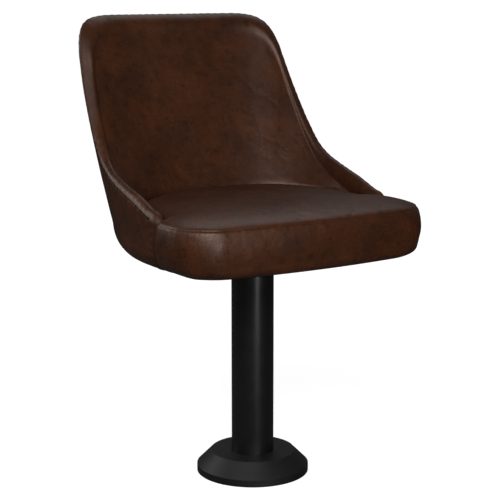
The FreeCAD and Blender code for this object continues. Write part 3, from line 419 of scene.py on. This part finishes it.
def field(places, size, seed):
    """Smooth noise from -1 to 1 at each place, of about that size in millimetres."""
    shift = Vector((seed * 17.3, seed * 5.1, seed * 9.7))
    return np.array([noise.fractal(Vector(p) / size + shift, 1.0, 2.0, 2) for p in places])


def ridged(places, size, seed, stretch):
    """Sharp creases: near 1 on thin lines and 0 between them."""
    scale = np.array(stretch) / size
    shift = Vector((seed * 7.7, seed * 3.3, seed * 11.9))
    values = np.array([noise.noise(Vector(p * scale) + shift) for p in places])
    return np.clip(1 - np.abs(values) * CREASE_SHARPNESS, 0, 1) ** 2


def padding(places, swells):
    return sum(field(places, size, seed) * height for size, seed, height in swells)


def creases(places, sets):
    return sum(ridged(places, size, seed, stretch) * depth for size, seed, stretch, depth in sets)


def drawn_in(distance, draws):
    """How far a seam pulls the cover in at a distance from it."""
    return -sum(depth * bell(distance, width) for depth, width in draws)


def puckers(places, distance, along, pitch, sway, size, seed, depth, reach, strength=1.0):
    """Small waves along a seam that die away from it."""
    wave = np.sin(along / pitch * 2 * math.pi + sway * field(places, size, seed))
    return wave * strength * depth * bell(distance, reach)


# Back covers

sections = [Section(a) for a in even_angles(PLAN_LEVEL, COLUMN_STEP)]
seam_section = {side: Section(side * math.pi / 2, SEAM_RIM) for side in (-1, 1)}

inside_columns = [column(s, s.inside_line()) for s in sections]
inside_columns.insert(0, flank(seam_section[-1].inside_line(), -1, NOSE_SEAM))
inside_columns.append(flank(seam_section[1].inside_line(), 1, NOSE_SEAM))
inside_points = np.concatenate(inside_columns)
inside_faces = grid_faces(len(inside_columns), len(inside_columns[0]), flip=True)
rim_points = np.array([points[len(INSIDE_FOLD)] for points in inside_columns])


def nose_columns(side):
    """Sections of a wing's rounded front, from its seam to its tip."""
    s = seam_section[side]
    loop = np.concatenate([s.outside_line()[:-len(OUTSIDE_FOLD)], s.inside_line()[len(INSIDE_FOLD) + 1:]])
    middle = (s.edge + s.inner) / 2
    share = np.clip((loop[:, 1] - FOOT) / (s.rim - FOOT), 0, 1)
    columns = []
    for turn in np.radians(np.linspace(0, NOSE_TURN, NOSE_COLUMNS)):
        narrow = math.cos(turn)
        low = 1 - NOSE_DROP * (1 - narrow)
        height = (loop[:, 1] - FOOT) * low + TIP_LIFT * (1 - narrow) ** 1.5 * (1 - share) ** 2
        line = np.stack([middle + (loop[:, 0] - middle) * narrow, FOOT + height], 1)
        columns.append(flank(line, side, NOSE_SEAM - NOSE_LENGTH * math.sin(turn)))
    return columns


for side in (-1, 1):
    columns = nose_columns(side)
    inside_faces += grid_faces(len(columns), len(columns[0]), True, len(inside_points), side > 0)
    inside_points = np.concatenate([inside_points] + columns)

inside = mesh_object("inside_cover", inside_points, inside_faces)
weld(inside)

outside_columns = [column(s, s.outside_line()) for s in sections]
for side in (-1, 1):
    line = seam_section[side].outside_line()
    tucked = line - np.array([TUCK_DEPTH, 0.0])
    ends = [flank(line, side, NOSE_SEAM + END_LAP), flank(tucked, side, NOSE_SEAM - TUCK_LENGTH)]
    outside_columns = ends[::-1] + outside_columns if side < 0 else outside_columns + ends
outside_points = np.concatenate(outside_columns)
outside_faces = grid_faces(len(outside_columns), len(outside_columns[0]), flip=True)
outer = mesh_object("outside_cover", outside_points, outside_faces)

# Cushion


def cushion_outline(front, back, side_in=None, shrink=(1.0, 1.0, 1.0)):
    """Plan outline of the cushion, cut back at its front, rear and sides."""
    half = CUSHION_HALF - (front if side_in is None else side_in)
    nose = -(CUSHION_FRONT - front)
    shoulder_y = nose + FRONT_BOW
    corner_x = half - CORNER_ACROSS
    step_line = NOSE_SEAM - NOSE_LENGTH - CUSHION_GAP - back
    side_y = min(shoulder_y + CORNER_DEEP, step_line - LOBE - LEAST_SIDE)
    across = min(WELL_ACROSS - CUSHION_GAP - back, half - LOBE - LEAST_STEP)
    deep = WELL_DEEP - CUSHION_GAP - back
    turn = np.linspace(0, math.pi / 2, CORNER_POINTS)
    corner = np.stack([corner_x + (half - corner_x) * np.sin(turn),
                       side_y - (side_y - shoulder_y) * np.cos(turn)], 1)
    side = np.linspace([half, side_y], [half, step_line - LOBE], STRAIGHT_POINTS)[1:]
    turn = np.linspace(0, math.pi / 2, LOBE_POINTS)[1:]
    round_off = np.stack([half - LOBE + LOBE * np.cos(turn), step_line - LOBE + LOBE * np.sin(turn)], 1)
    step = np.linspace([half - LOBE, step_line], [across, step_line], STEP_POINTS)[1:]
    inner = np.linspace([across, step_line], [across, PLAN_CENTRE], INNER_POINTS)[1:]
    rear = []
    for angle in np.radians(np.linspace(90, 0, REAR_POINTS)[1:]):
        reach = superellipse(angle, across, deep, WELL_POWER)
        rear.append([reach * math.sin(angle), PLAN_CENTRE + reach * math.cos(angle)])
    bow_x = np.linspace(0, corner_x, BOW_POINTS)[:-1]
    bow = np.stack([bow_x, nose + (bow_x / corner_x) ** 2 * FRONT_BOW], 1)
    right = np.concatenate([bow, corner, side, round_off, step, inner, np.array(rear)])
    left = right[1:-1][::-1] * np.array([-1, 1])
    outline = np.concatenate([right, left])
    behind = outline[:, 1] > step_line
    outline[:, 0] *= shrink[0]
    outline[:, 1] = step_line + (outline[:, 1] - step_line) * np.where(behind, shrink[2], shrink[1])
    return outline


levels = [level(cushion_outline(front, back, side_in, (share, share, share)), FOOT)
          for front, back, side_in, share in UNDERSIDE]
for turn in np.radians(np.linspace(90, 0, LOWER_ROLL_ROWS)):
    away = 1 - math.cos(turn)
    outline = cushion_outline(LOWER_ROLL_FRONT * away, LOWER_ROLL_BACK * away, LOWER_ROLL_SIDE * away)
    levels.append(level(outline, FOOT + LOWER_ROLL_HEIGHT * (1 - math.sin(turn))))
for share in np.linspace(1 / SIDE_ROWS, 1.0, SIDE_ROWS):
    z = FOOT + LOWER_ROLL_HEIGHT + (SEAM_HEIGHT - FOOT - LOWER_ROLL_HEIGHT) * share
    levels.append(level(cushion_outline(-SIDE_SWELL * math.sin(math.pi * share), 0.0), z))
for share in np.linspace(0.0, 1.0, CROWN_ROWS)[1:]:
    at = share * (len(CROWN) - 1)
    row = [smooth_line(at, np.arange(len(CROWN)), CROWN[:, k]) for k in range(4)]
    levels.append(level(cushion_outline(0.0, 0.0, shrink=tuple(row[1:])), SEAM_HEIGHT + CROWN_RISE * row[0]))
cushion_points = np.concatenate(levels)
cushion_faces = grid_faces(len(levels), len(levels[0]), True, 0, True)
ring = len(levels[0])
cushion_faces += [list(range(ring)), list(range(len(cushion_points) - ring, len(cushion_points)))[::-1]]
cushion = mesh_object("cushion", cushion_points, cushion_faces)
remesh = cushion.modifiers.new("remesh", "REMESH")
remesh.mode = "VOXEL"
remesh.voxel_size = CUSHION_VOXEL * MM
relaxing = cushion.modifiers.new("relax", "SMOOTH")
relaxing.factor = 0.5
relaxing.iterations = CUSHION_ROUNDS
apply_modifiers(cushion)

# Soft surfaces: padding that swells, seams drawn in with puckers, and fine creases

places = places_and_normals(cushion)[0]
low_share = soft_fall(places[:, 2], *LIFT_HEIGHTS)
side_share = soft_step(np.abs(places[:, 0]), *LIFT_SIDES)
rear_share = soft_step(places[:, 1], *LIFT_FRONT) * soft_fall(places[:, 1], *LIFT_BACK)
places[:, 2] += CORNER_LIFT * low_share * side_share * rear_share
set_places(cushion, places)

places, normals = places_and_normals(cushion)
seam, seam_length = dense(level(cushion_outline(0.0, 0.0), SEAM_HEIGHT), 1.0, True)
distance, along = near_line(places, seam)
along = along * seam_length
still = np.zeros(len(along))
gathered = 0.5 + 0.5 * field(np.stack([along / 3, still, still], 1), 20.0, 3)
pucker = puckers(places, distance, along, strength=gathered, **CUSHION_PUCKERS)
crease = creases(places, CUSHION_CREASES)
crease *= 0.45 + 0.55 * soft_step(field(places, 80.0, 7), -0.1, 0.3)
corner = bell(np.hypot(np.abs(places[:, 0]) - FOLD_CORNER[0], places[:, 1] - FOLD_CORNER[1]), FOLD_SPREAD)
folds = np.sin(along / FOLD_PITCH * 2 * math.pi) * FOLD_DEPTH * corner * bell(distance, FOLD_REACH)
shape = drawn_in(distance, CUSHION_DRAW) + pucker + padding(places, CUSHION_PADDING) * CUSHION_FULLNESS
shape = (shape - crease + folds) * soft_step(places[:, 2], *UNDERSIDE_STILL)
set_places(cushion, places + normals * shape[:, None])

places, normals = places_and_normals(inside)
nose_seams = [flank(seam_section[side].outside_line()[:-len(OUTSIDE_FOLD)], side, NOSE_SEAM)
              for side in (-1, 1)]
rim_line, rim_length = dense(np.concatenate([nose_seams[0], rim_points, nose_seams[1][::-1]]), 1.0, False)
distance, along = near_line(places, rim_line)
along = along * rim_length
pucker = puckers(places, distance, along, **INSIDE_PUCKERS)
offsets = [(places[:, k] - CRINKLE_PLACE[i]) / CRINKLE_SPREAD[i] for i, k in enumerate((0, 2))]
patch = 0.9 * np.exp(-(offsets[0] ** 2 + offsets[1] ** 2))
crinkled = soft_step(field(places, 110.0, 13) + patch, 0.0, 0.7)
crease = creases(places, INSIDE_CREASES) + creases(places, INSIDE_CRINKLES) * crinkled
tuck_wave = np.sin(places[:, 1] / TUCK_PITCH * 2 * math.pi + TUCK_PHASE)
tucks = soft_fall(places[:, 1], *TUCK_FRONT) * soft_fall(places[:, 2], *TUCK_HEIGHTS)
tucks = tucks * np.clip(tuck_wave, TUCK_LOW, TUCK_HIGH) * TUCK_RELIEF
shape = drawn_in(distance, INSIDE_DRAW) + pucker + padding(places, INSIDE_PADDING) * INSIDE_FULLNESS
set_places(inside, places + normals * (shape - crease * INSIDE_CREASING - tucks)[:, None])

places, normals = places_and_normals(outer)
distance, along = near_line(places, rim_line)
along = along * rim_length
pucker = puckers(places, distance, along, **OUTSIDE_PUCKERS)
shape = drawn_in(distance, OUTSIDE_DRAW) + pucker + padding(places, OUTSIDE_PADDING) * OUTSIDE_FULLNESS
set_places(outer, places + normals * (shape - creases(places, OUTSIDE_CREASES))[:, None])

# Stitches


def stitches(name, line, pitch, length, radius):
    """A run of short threads along a closed line."""
    spots = dense(line, pitch, True)[0]
    ring_turns = np.linspace(0, 2 * math.pi, STITCH_SIDES + 1)[:-1]
    last_ring = (len(STITCH_RINGS) - 1) * STITCH_SIDES
    skin = grid_faces(len(STITCH_RINGS), STITCH_SIDES, True, 0, True)
    points = []
    faces = []
    for i in range(1, len(spots) - 1):
        ahead = spots[i + 1] - spots[i - 1]
        ahead /= np.linalg.norm(ahead)
        side = np.cross(ahead, [0, 0, 1.0])
        side /= np.linalg.norm(side)
        up = np.cross(side, ahead)
        base = len(points)
        for at, size in STITCH_RINGS:
            middle = spots[i] + ahead * length * at - up * (abs(at) * 2) ** 2 * radius * STITCH_DIP
            points += [middle + (side * math.cos(t) + up * math.sin(t)) * radius * size for t in ring_turns]
        faces += [[base + a for a in quad] for quad in skin]
        faces += [[base + k for k in range(STITCH_SIDES)],
                  [base + last_ring + k for k in range(STITCH_SIDES - 1, -1, -1)]]
    return mesh_object(name, np.array(points), faces)


stitch_plan = cushion_outline(STITCH_INSET, STITCH_INSET, shrink=STITCH_SHARES)
cushion_thread = stitches("cushion_stitches", level(stitch_plan, SEAM_HEIGHT + STITCH_RISE),
                          STITCH_PITCH, STITCH_LENGTH, STITCH_RADIUS)

# Dust cover under the seat: cloth that sags between its edge and its window


def sagging_cloth():
    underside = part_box("dust_cover")[0][2] / MM
    outline = cushion_outline(CLOTH_FRONT, CLOTH_BACK)
    angle = np.arctan2(outline[:, 1], outline[:, 0])
    reach = CLOTH_WINDOW / np.maximum(np.abs(np.cos(angle)), np.abs(np.sin(angle)))
    square = np.stack([np.cos(angle) * reach, np.sin(angle) * reach], 1)
    rings = []
    for share in np.linspace(1.0, 0.0, CLOTH_ROWS):
        plan = outline * share + square * (1 - share)
        ripple = np.sin(np.arange(len(outline)) * RIPPLE_TURN) * RIPPLE_DEPTH * share ** 2
        sag = -CLOTH_SAG * math.sin(math.pi * share) + ripple
        rings.append(np.concatenate([plan, (underside + CLOTH_GAP + sag)[:, None]], 1))
    return mesh_object("dust_cloth", np.concatenate(rings), grid_faces(len(rings), len(outline), True))


dust_cloth = sagging_cloth()

# Finishes. Sockets of a mix node, by kind of value: its two inputs and its result.
MIX_NUMBER, MIX_PLACE, MIX_COLOUR = (2, 3, 0), (4, 5, 1), (6, 7, 2)


class Graph:
    """Short hand for joining shader nodes."""

    def __init__(self, name):
        self.material = bpy.data.materials.new(name)
        self.material.use_nodes = True
        self.tree = self.material.node_tree
        self.tree.nodes.clear()
        self.output = self.add("ShaderNodeOutputMaterial")
        self.shader = self.add("ShaderNodeBsdfPrincipled")
        self.join(self.shader.outputs[0], self.output.inputs["Surface"])
        self.place = self.add("ShaderNodeTexCoord").outputs["Object"]

    def add(self, kind, **settings):
        node = self.tree.nodes.new(kind)
        for key, value in settings.items():
            setattr(node, key, value)
        return node

    def join(self, source, target):
        self.tree.links.new(source, target)

    def feed(self, socket, value):
        """Give a socket a number, a colour or another node's output."""
        if isinstance(value, (int, float)):
            socket.default_value = value
        elif isinstance(value, tuple):
            socket.default_value = (value[0], value[1], value[2], 1.0)
        else:
            self.join(value, socket)

    def surface(self, **values):
        """Set the surface's sockets, named with underscores for spaces."""
        for key, value in values.items():
            self.feed(self.shader.inputs[key.replace("_", " ")], value)

    def noise(self, scale, detail=4.0, roughness=0.55, distortion=0.0, place=None):
        node = self.add("ShaderNodeTexNoise")
        node.inputs["Scale"].default_value = scale
        node.inputs["Detail"].default_value = detail
        node.inputs["Roughness"].default_value = roughness
        node.inputs["Distortion"].default_value = distortion
        self.join(place or self.place, node.inputs["Vector"])
        return node.outputs["Fac"]

    def cell_edges(self, scale, place):
        node = self.add("ShaderNodeTexVoronoi", feature="DISTANCE_TO_EDGE")
        node.inputs["Scale"].default_value = scale
        self.join(place, node.inputs["Vector"])
        return node.outputs["Distance"]

    def waves(self, direction, scale, distortion=0.0):
        node = self.add("ShaderNodeTexWave", wave_type="BANDS", bands_direction=direction)
        node.inputs["Scale"].default_value = scale
        node.inputs["Distortion"].default_value = distortion
        self.join(self.place, node.inputs["Vector"])
        return node.outputs["Fac"]

    def ramp(self, value, stops):
        node = self.add("ShaderNodeValToRGB")
        self.join(value, node.inputs["Fac"])
        elements = node.color_ramp.elements
        while len(elements) < len(stops):
            elements.new(0.5)
        for element, (position, tone) in zip(elements, stops):
            red, green, blue = tone if isinstance(tone, tuple) else (tone, tone, tone)
            element.position = position
            element.color = (red, green, blue, 1.0)
        return node.outputs["Color"]

    def math(self, operation, a, b):
        node = self.add("ShaderNodeMath", operation=operation)
        for socket, value in zip(node.inputs, (a, b)):
            self.feed(socket, value)
        return node.outputs[0]

    def mix(self, factor, a, b, mode="MIX"):
        first, second, result = MIX_COLOUR
        node = self.add("ShaderNodeMix", data_type="RGBA", blend_type=mode)
        for socket, value in ((0, factor), (first, a), (second, b)):
            self.feed(node.inputs[socket], value)
        return node.outputs[result]

    def bump(self, height, strength, distance, normal=None):
        node = self.add("ShaderNodeBump")
        node.inputs["Strength"].default_value = strength
        node.inputs["Distance"].default_value = distance
        self.join(height, node.inputs["Height"])
        if normal is not None:
            self.join(normal, node.inputs["Normal"])
        return node.outputs["Normal"]

    def warped(self, scale, amount):
        """Place shifted by noise, so that patterns aren't regular."""
        first, second, result = MIX_PLACE
        noise_node = self.add("ShaderNodeTexNoise")
        noise_node.inputs["Scale"].default_value = scale
        self.join(self.place, noise_node.inputs["Vector"])
        node = self.add("ShaderNodeMix", data_type="VECTOR")
        node.inputs[0].default_value = amount
        self.join(self.place, node.inputs[first])
        self.join(noise_node.outputs["Color"], node.inputs[second])
        return node.outputs[result]


def leather(name, light=1.0):
    """Brown hide: mottled colour, with wrinkles, grain and pores as bump."""
    g = Graph(name)
    # A light factor above 1 brightens every tone, which paints light onto a lit copy of the hide
    dark = (0.0270 * light, 0.0078 * light, 0.0024 * light)
    mid = (0.0370 * light, 0.0102 * light, 0.0029 * light)
    warm = (0.0480 * light, 0.0136 * light, 0.0040 * light)
    broad = g.noise(16.0, detail=5.0, roughness=0.6, distortion=0.4)
    patches = g.ramp(broad, [(0.36, dark), (0.52, mid), (0.68, warm)])
    mottle = g.noise(70.0, detail=7.0, roughness=0.72, distortion=0.5)
    mottled = g.mix(0.6, patches, g.ramp(mottle, [(0.34, 0.22), (0.48, 0.95), (0.7, 1.12)]), "MULTIPLY")
    speck = g.ramp(g.noise(240.0, detail=3.0, roughness=0.6), [(0.38, 0.72), (0.6, 1.08)])
    coloured = g.mix(0.6, mottled, speck, "MULTIPLY")
    rough = g.ramp(g.noise(40.0, detail=5.0, roughness=0.6), [(0.3, 0.35), (0.7, 0.43)])
    grain = g.cell_edges(620.0, g.warped(90.0, 0.012))
    grain_height = g.ramp(grain, [(0.0, 0.0), (0.16, 0.8), (0.5, 1.0)])
    wrinkle = g.cell_edges(120.0, g.warped(40.0, 0.03))
    wrinkle_height = g.ramp(wrinkle, [(0.0, 0.0), (0.05, 0.9), (0.3, 1.0)])
    normal = g.bump(wrinkle_height, strength=0.10, distance=0.0006)
    normal = g.bump(grain_height, strength=0.22, distance=0.0003, normal=normal)
    normal = g.bump(g.noise(900.0, detail=2.0), strength=0.08, distance=0.0002, normal=normal)
    g.surface(Base_Color=coloured, Roughness=rough, Normal=normal, Specular_IOR_Level=0.36,
              Specular_Tint=(1.0, 0.80, 0.70), Coat_Weight=0.03, Coat_Roughness=0.34)
    return g.material


def metal(name, tones, roughness, metallic, grain=260.0, depth=0.00012, strength=0.12, specular=0.5):
    """Bare or painted metal: two tones, fine grain and a slight waviness."""
    g = Graph(name)
    base = g.ramp(g.noise(22.0, detail=6.0, roughness=0.6), [(0.3, tones[0]), (0.7, tones[1])])
    fine = g.ramp(g.noise(grain, detail=3.0, roughness=0.6), [(0.35, 0.82), (0.65, 1.1)])
    rough = g.ramp(g.noise(36.0, detail=5.0, roughness=0.6), [(0.3, roughness[0]), (0.7, roughness[1])])
    normal = g.bump(g.noise(grain * 2.2, detail=3.0), strength, depth)
    normal = g.bump(g.noise(18.0, detail=2.0), strength=0.05, distance=0.0008, normal=normal)
    g.surface(Base_Color=g.mix(0.7, base, fine, "MULTIPLY"), Roughness=rough, Metallic=metallic,
              Specular_IOR_Level=specular, Normal=normal)
    return g.material


def wood(name):
    """Plywood: noise drawn out along the grain, and thin up through the layers."""
    g = Graph(name)
    stretch = g.add("ShaderNodeMapping")
    stretch.inputs["Scale"].default_value = (4.0, 60.0, 220.0)
    g.join(g.place, stretch.inputs["Vector"])
    layers = g.noise(1.0, detail=6.0, roughness=0.65, distortion=1.2, place=stretch.outputs["Vector"])
    tones = [(0.3, (0.23, 0.13, 0.06)), (0.55, (0.42, 0.27, 0.13)), (0.75, (0.55, 0.38, 0.2))]
    g.surface(Base_Color=g.ramp(layers, tones), Roughness=g.ramp(layers, [(0.3, 0.7), (0.7, 0.55)]),
              Normal=g.bump(layers, strength=0.25, distance=0.0005))
    return g.material


def cloth(name, dark, pale, scale):
    """Woven cloth: two sets of bands across each other."""
    g = Graph(name)
    woven = g.math("MULTIPLY", g.waves("X", scale, 0.6), g.waves("Y", scale, 0.6))
    g.surface(Base_Color=g.ramp(woven, [(0.1, dark), (0.8, pale)]),
              Roughness=g.ramp(g.noise(50.0), [(0.3, 0.85), (0.7, 0.97)]),
              Normal=g.bump(woven, strength=0.4, distance=0.0003))
    return g.material


def thread(name):
    """Twisted thread: slanting bands."""
    g = Graph(name)
    twist = g.waves("DIAGONAL", 700.0)
    g.surface(Base_Color=g.ramp(twist, [(0.2, (0.02, 0.010, 0.007)), (0.8, (0.060, 0.032, 0.022))]),
              Roughness=g.ramp(g.noise(300.0), [(0.3, 0.5), (0.7, 0.7)]),
              Normal=g.bump(twist, strength=0.3, distance=0.0002))
    return g.material


leather_inside = leather("hide_inside")
leather_cushion = leather("hide_cushion")
# The outside cover is the same hide with its colour a tenth lighter: painted light
leather_outside_painted_light = leather("hide_outside", 1.1)
black = metal("black_enamel", ((0.0026, 0.0025, 0.0025), (0.0045, 0.0044, 0.0044)), (0.28, 0.36), 0.0)
black_cover = metal("black_cover", ((0.0035, 0.0034, 0.0034), (0.0050, 0.0049, 0.0049)), (0.46, 0.55), 0.0,
                    specular=0.36)
dark_steel = metal("primed_steel", ((0.05, 0.05, 0.055), (0.09, 0.09, 0.1)), (0.45, 0.6), 0.6)
cast = metal("cast_iron", ((0.07, 0.07, 0.075), (0.12, 0.12, 0.125)), (0.55, 0.7), 0.8, 180.0, 0.0004, 0.3)
bronze = metal("bearing_bronze", ((0.42, 0.27, 0.12), (0.55, 0.37, 0.18)), (0.3, 0.45), 1.0)
bright = metal("ground_steel", ((0.5, 0.5, 0.52), (0.66, 0.66, 0.68)), (0.18, 0.3), 1.0, 420.0)
zinc = metal("zinc_plate", ((0.42, 0.43, 0.44), (0.6, 0.61, 0.63)), (0.28, 0.45), 1.0, 340.0)
plywood = wood("plywood")
cambric = cloth("dust_cloth", (0.008, 0.008, 0.009), (0.03, 0.03, 0.032), 900.0)
threads = thread("upholstery_thread")

FINISH = {
    "floor_plate": dark_steel, "column": black, "column_weld": dark_steel, "base_cover": black_cover,
    "bearing_housing": cast, "upper_bush": bronze, "lower_bush": bronze, "lower_race": bright,
    "upper_race": bright, "ball_cage": bronze, "bearing_balls": bright, "spindle": bright,
    "spindle_washer": zinc, "spindle_nut": zinc, "split_pin": zinc, "seat_plate": black,
    "seat_bolts": zinc, "tee_nuts": zinc, "seat_board": plywood, "back_rail": plywood,
    "back_shell": plywood, "back_straps": zinc, "strap_screws": zinc, "shell_screws": zinc,
}
for name, material in FINISH.items():
    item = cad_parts[name]
    item.data.materials.clear()
    item.data.materials.append(material)

for item, material, slot in ((inside, leather_inside, "hide"), (outer, leather_outside_painted_light, "hide"),
                             (cushion, leather_cushion, "hide"), (cushion_thread, threads, "hide"),
                             (dust_cloth, cambric, "cambric")):
    item.data.materials.clear()
    item.data.materials.append(material)
    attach(item, "seat")
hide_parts("inside_back_cover", "back_foam", "nose_pads")
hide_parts("outside_back_cover")
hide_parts("seat_foam", "seat_top_cover", "seat_boxing")
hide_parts("dust_cover")

# Floor, light and camera, in metres. The floor glows for the camera alone, brighter with
# distance, and is dark in reflections.

WHITE = (1.0, 1.0, 1.0)
FLOOR_HALF = 60.0
FLOOR_GLOW, GLOW_START, GLOW_SLOPE = 0.82, 0.5, 0.12
REFLECTED_FLOOR = (0.08, 0.08, 0.08)
WORLD_LIGHT, WORLD_SEEN = 0.09, 1.0
floor_mesh = bpy.data.meshes.new("floor")
floor_mesh.from_pydata([(-FLOOR_HALF, -FLOOR_HALF, 0), (FLOOR_HALF, -FLOOR_HALF, 0),
                        (FLOOR_HALF, FLOOR_HALF, 0), (-FLOOR_HALF, FLOOR_HALF, 0)], [], [(0, 1, 2, 3)])
floor = placed("floor", floor_mesh)
g = Graph("pale_floor")
ray = g.add("ShaderNodeLightPath").outputs
tone = g.ramp(g.noise(3.0), [(0.3, 0.36), (0.7, 0.40)])
reach = g.add("ShaderNodeVectorMath", operation="LENGTH")
g.join(g.place, reach.inputs[0])
far = g.math("MULTIPLY", g.math("SUBTRACT", reach.outputs["Value"], GLOW_START), GLOW_SLOPE)
glow = g.add("ShaderNodeClamp")
glow.inputs["Min"].default_value = FLOOR_GLOW
glow.inputs["Max"].default_value = 1.0
g.join(g.math("ADD", far, FLOOR_GLOW), glow.inputs["Value"])
g.surface(Base_Color=g.mix(ray["Is Glossy Ray"], tone, REFLECTED_FLOOR), Roughness=0.9,
          Specular_IOR_Level=0.1, Emission_Color=WHITE,
          Emission_Strength=g.math("MULTIPLY", ray["Is Camera Ray"], glow.outputs[0]))
floor_mesh.materials.append(g.material)

world = bpy.data.worlds.new("studio")
world.use_nodes = True
bpy.context.scene.world = world
background = world.node_tree.nodes["Background"]
background.inputs["Color"].default_value = (*WHITE, 1.0)
path = world.node_tree.nodes.new("ShaderNodeLightPath")
strength = world.node_tree.nodes.new("ShaderNodeMix")
strength.inputs[MIX_NUMBER[0]].default_value = WORLD_LIGHT
strength.inputs[MIX_NUMBER[1]].default_value = WORLD_SEEN
world.node_tree.links.new(path.outputs["Is Camera Ray"], strength.inputs[0])
world.node_tree.links.new(strength.outputs[MIX_NUMBER[2]], background.inputs["Strength"])


def face(item, place, direction):
    """Put a light or the camera in its place, turned to look in a direction."""
    item.location = place
    item.rotation_mode = "QUATERNION"
    item.rotation_quaternion = direction.to_track_quat("-Z", "Y")


# Each light's name, place, what it is turned to, width and height, and watts
LIGHTS = (
    ("key", (-2.3, -0.6, 2.2), (0, 0, 0.55), (1.2, 1.2), 19.0),
    ("strip", (-0.27, -2.3, 0.75), (0, 0, 0.35), (0.16, 1.4), 22.0),
    ("rear", (-1.9, 2.1, 1.7), (0, 0, 0.5), (1.4, 1.2), 22.0),
    ("top", (0.9, 1.2, 2.4), (0, 0, 0.5), (1.8, 1.4), 7.5),
    ("front", (-1.2, -1.95, 1.8), (0, 0, 0.65), (0.9, 0.8), 44.0),
)
for name, place, target, size, power in LIGHTS:
    light = bpy.data.lights.new(name, "AREA")
    light.shape = "RECTANGLE"
    light.size, light.size_y = size
    light.energy = power
    item = placed(name, light)
    face(item, place, Vector(target) - Vector(place))

AZIMUTH = math.radians(-31.81)
PITCH = math.radians(10.87)
DISTANCE = 2.518
TARGET = Vector((0.0, 0.0, 0.408))
FOCAL_PIXELS, SHIFT_PIXELS, PICTURE = 1412.0, -2.57, 500.0
SENSOR = 36.0
camera_data = bpy.data.cameras.new("camera")
camera_data.sensor_width = SENSOR
camera_data.lens = SENSOR * FOCAL_PIXELS / PICTURE
camera_data.shift_x = SHIFT_PIXELS / PICTURE
camera = placed("camera", camera_data)
toward = Vector((-math.sin(AZIMUTH) * math.cos(PITCH), math.cos(AZIMUTH) * math.cos(PITCH), -math.sin(PITCH)))
face(camera, TARGET - toward * DISTANCE, toward)
bpy.context.scene.camera = camera
bpy.context.scene.view_settings.view_transform = "Standard"
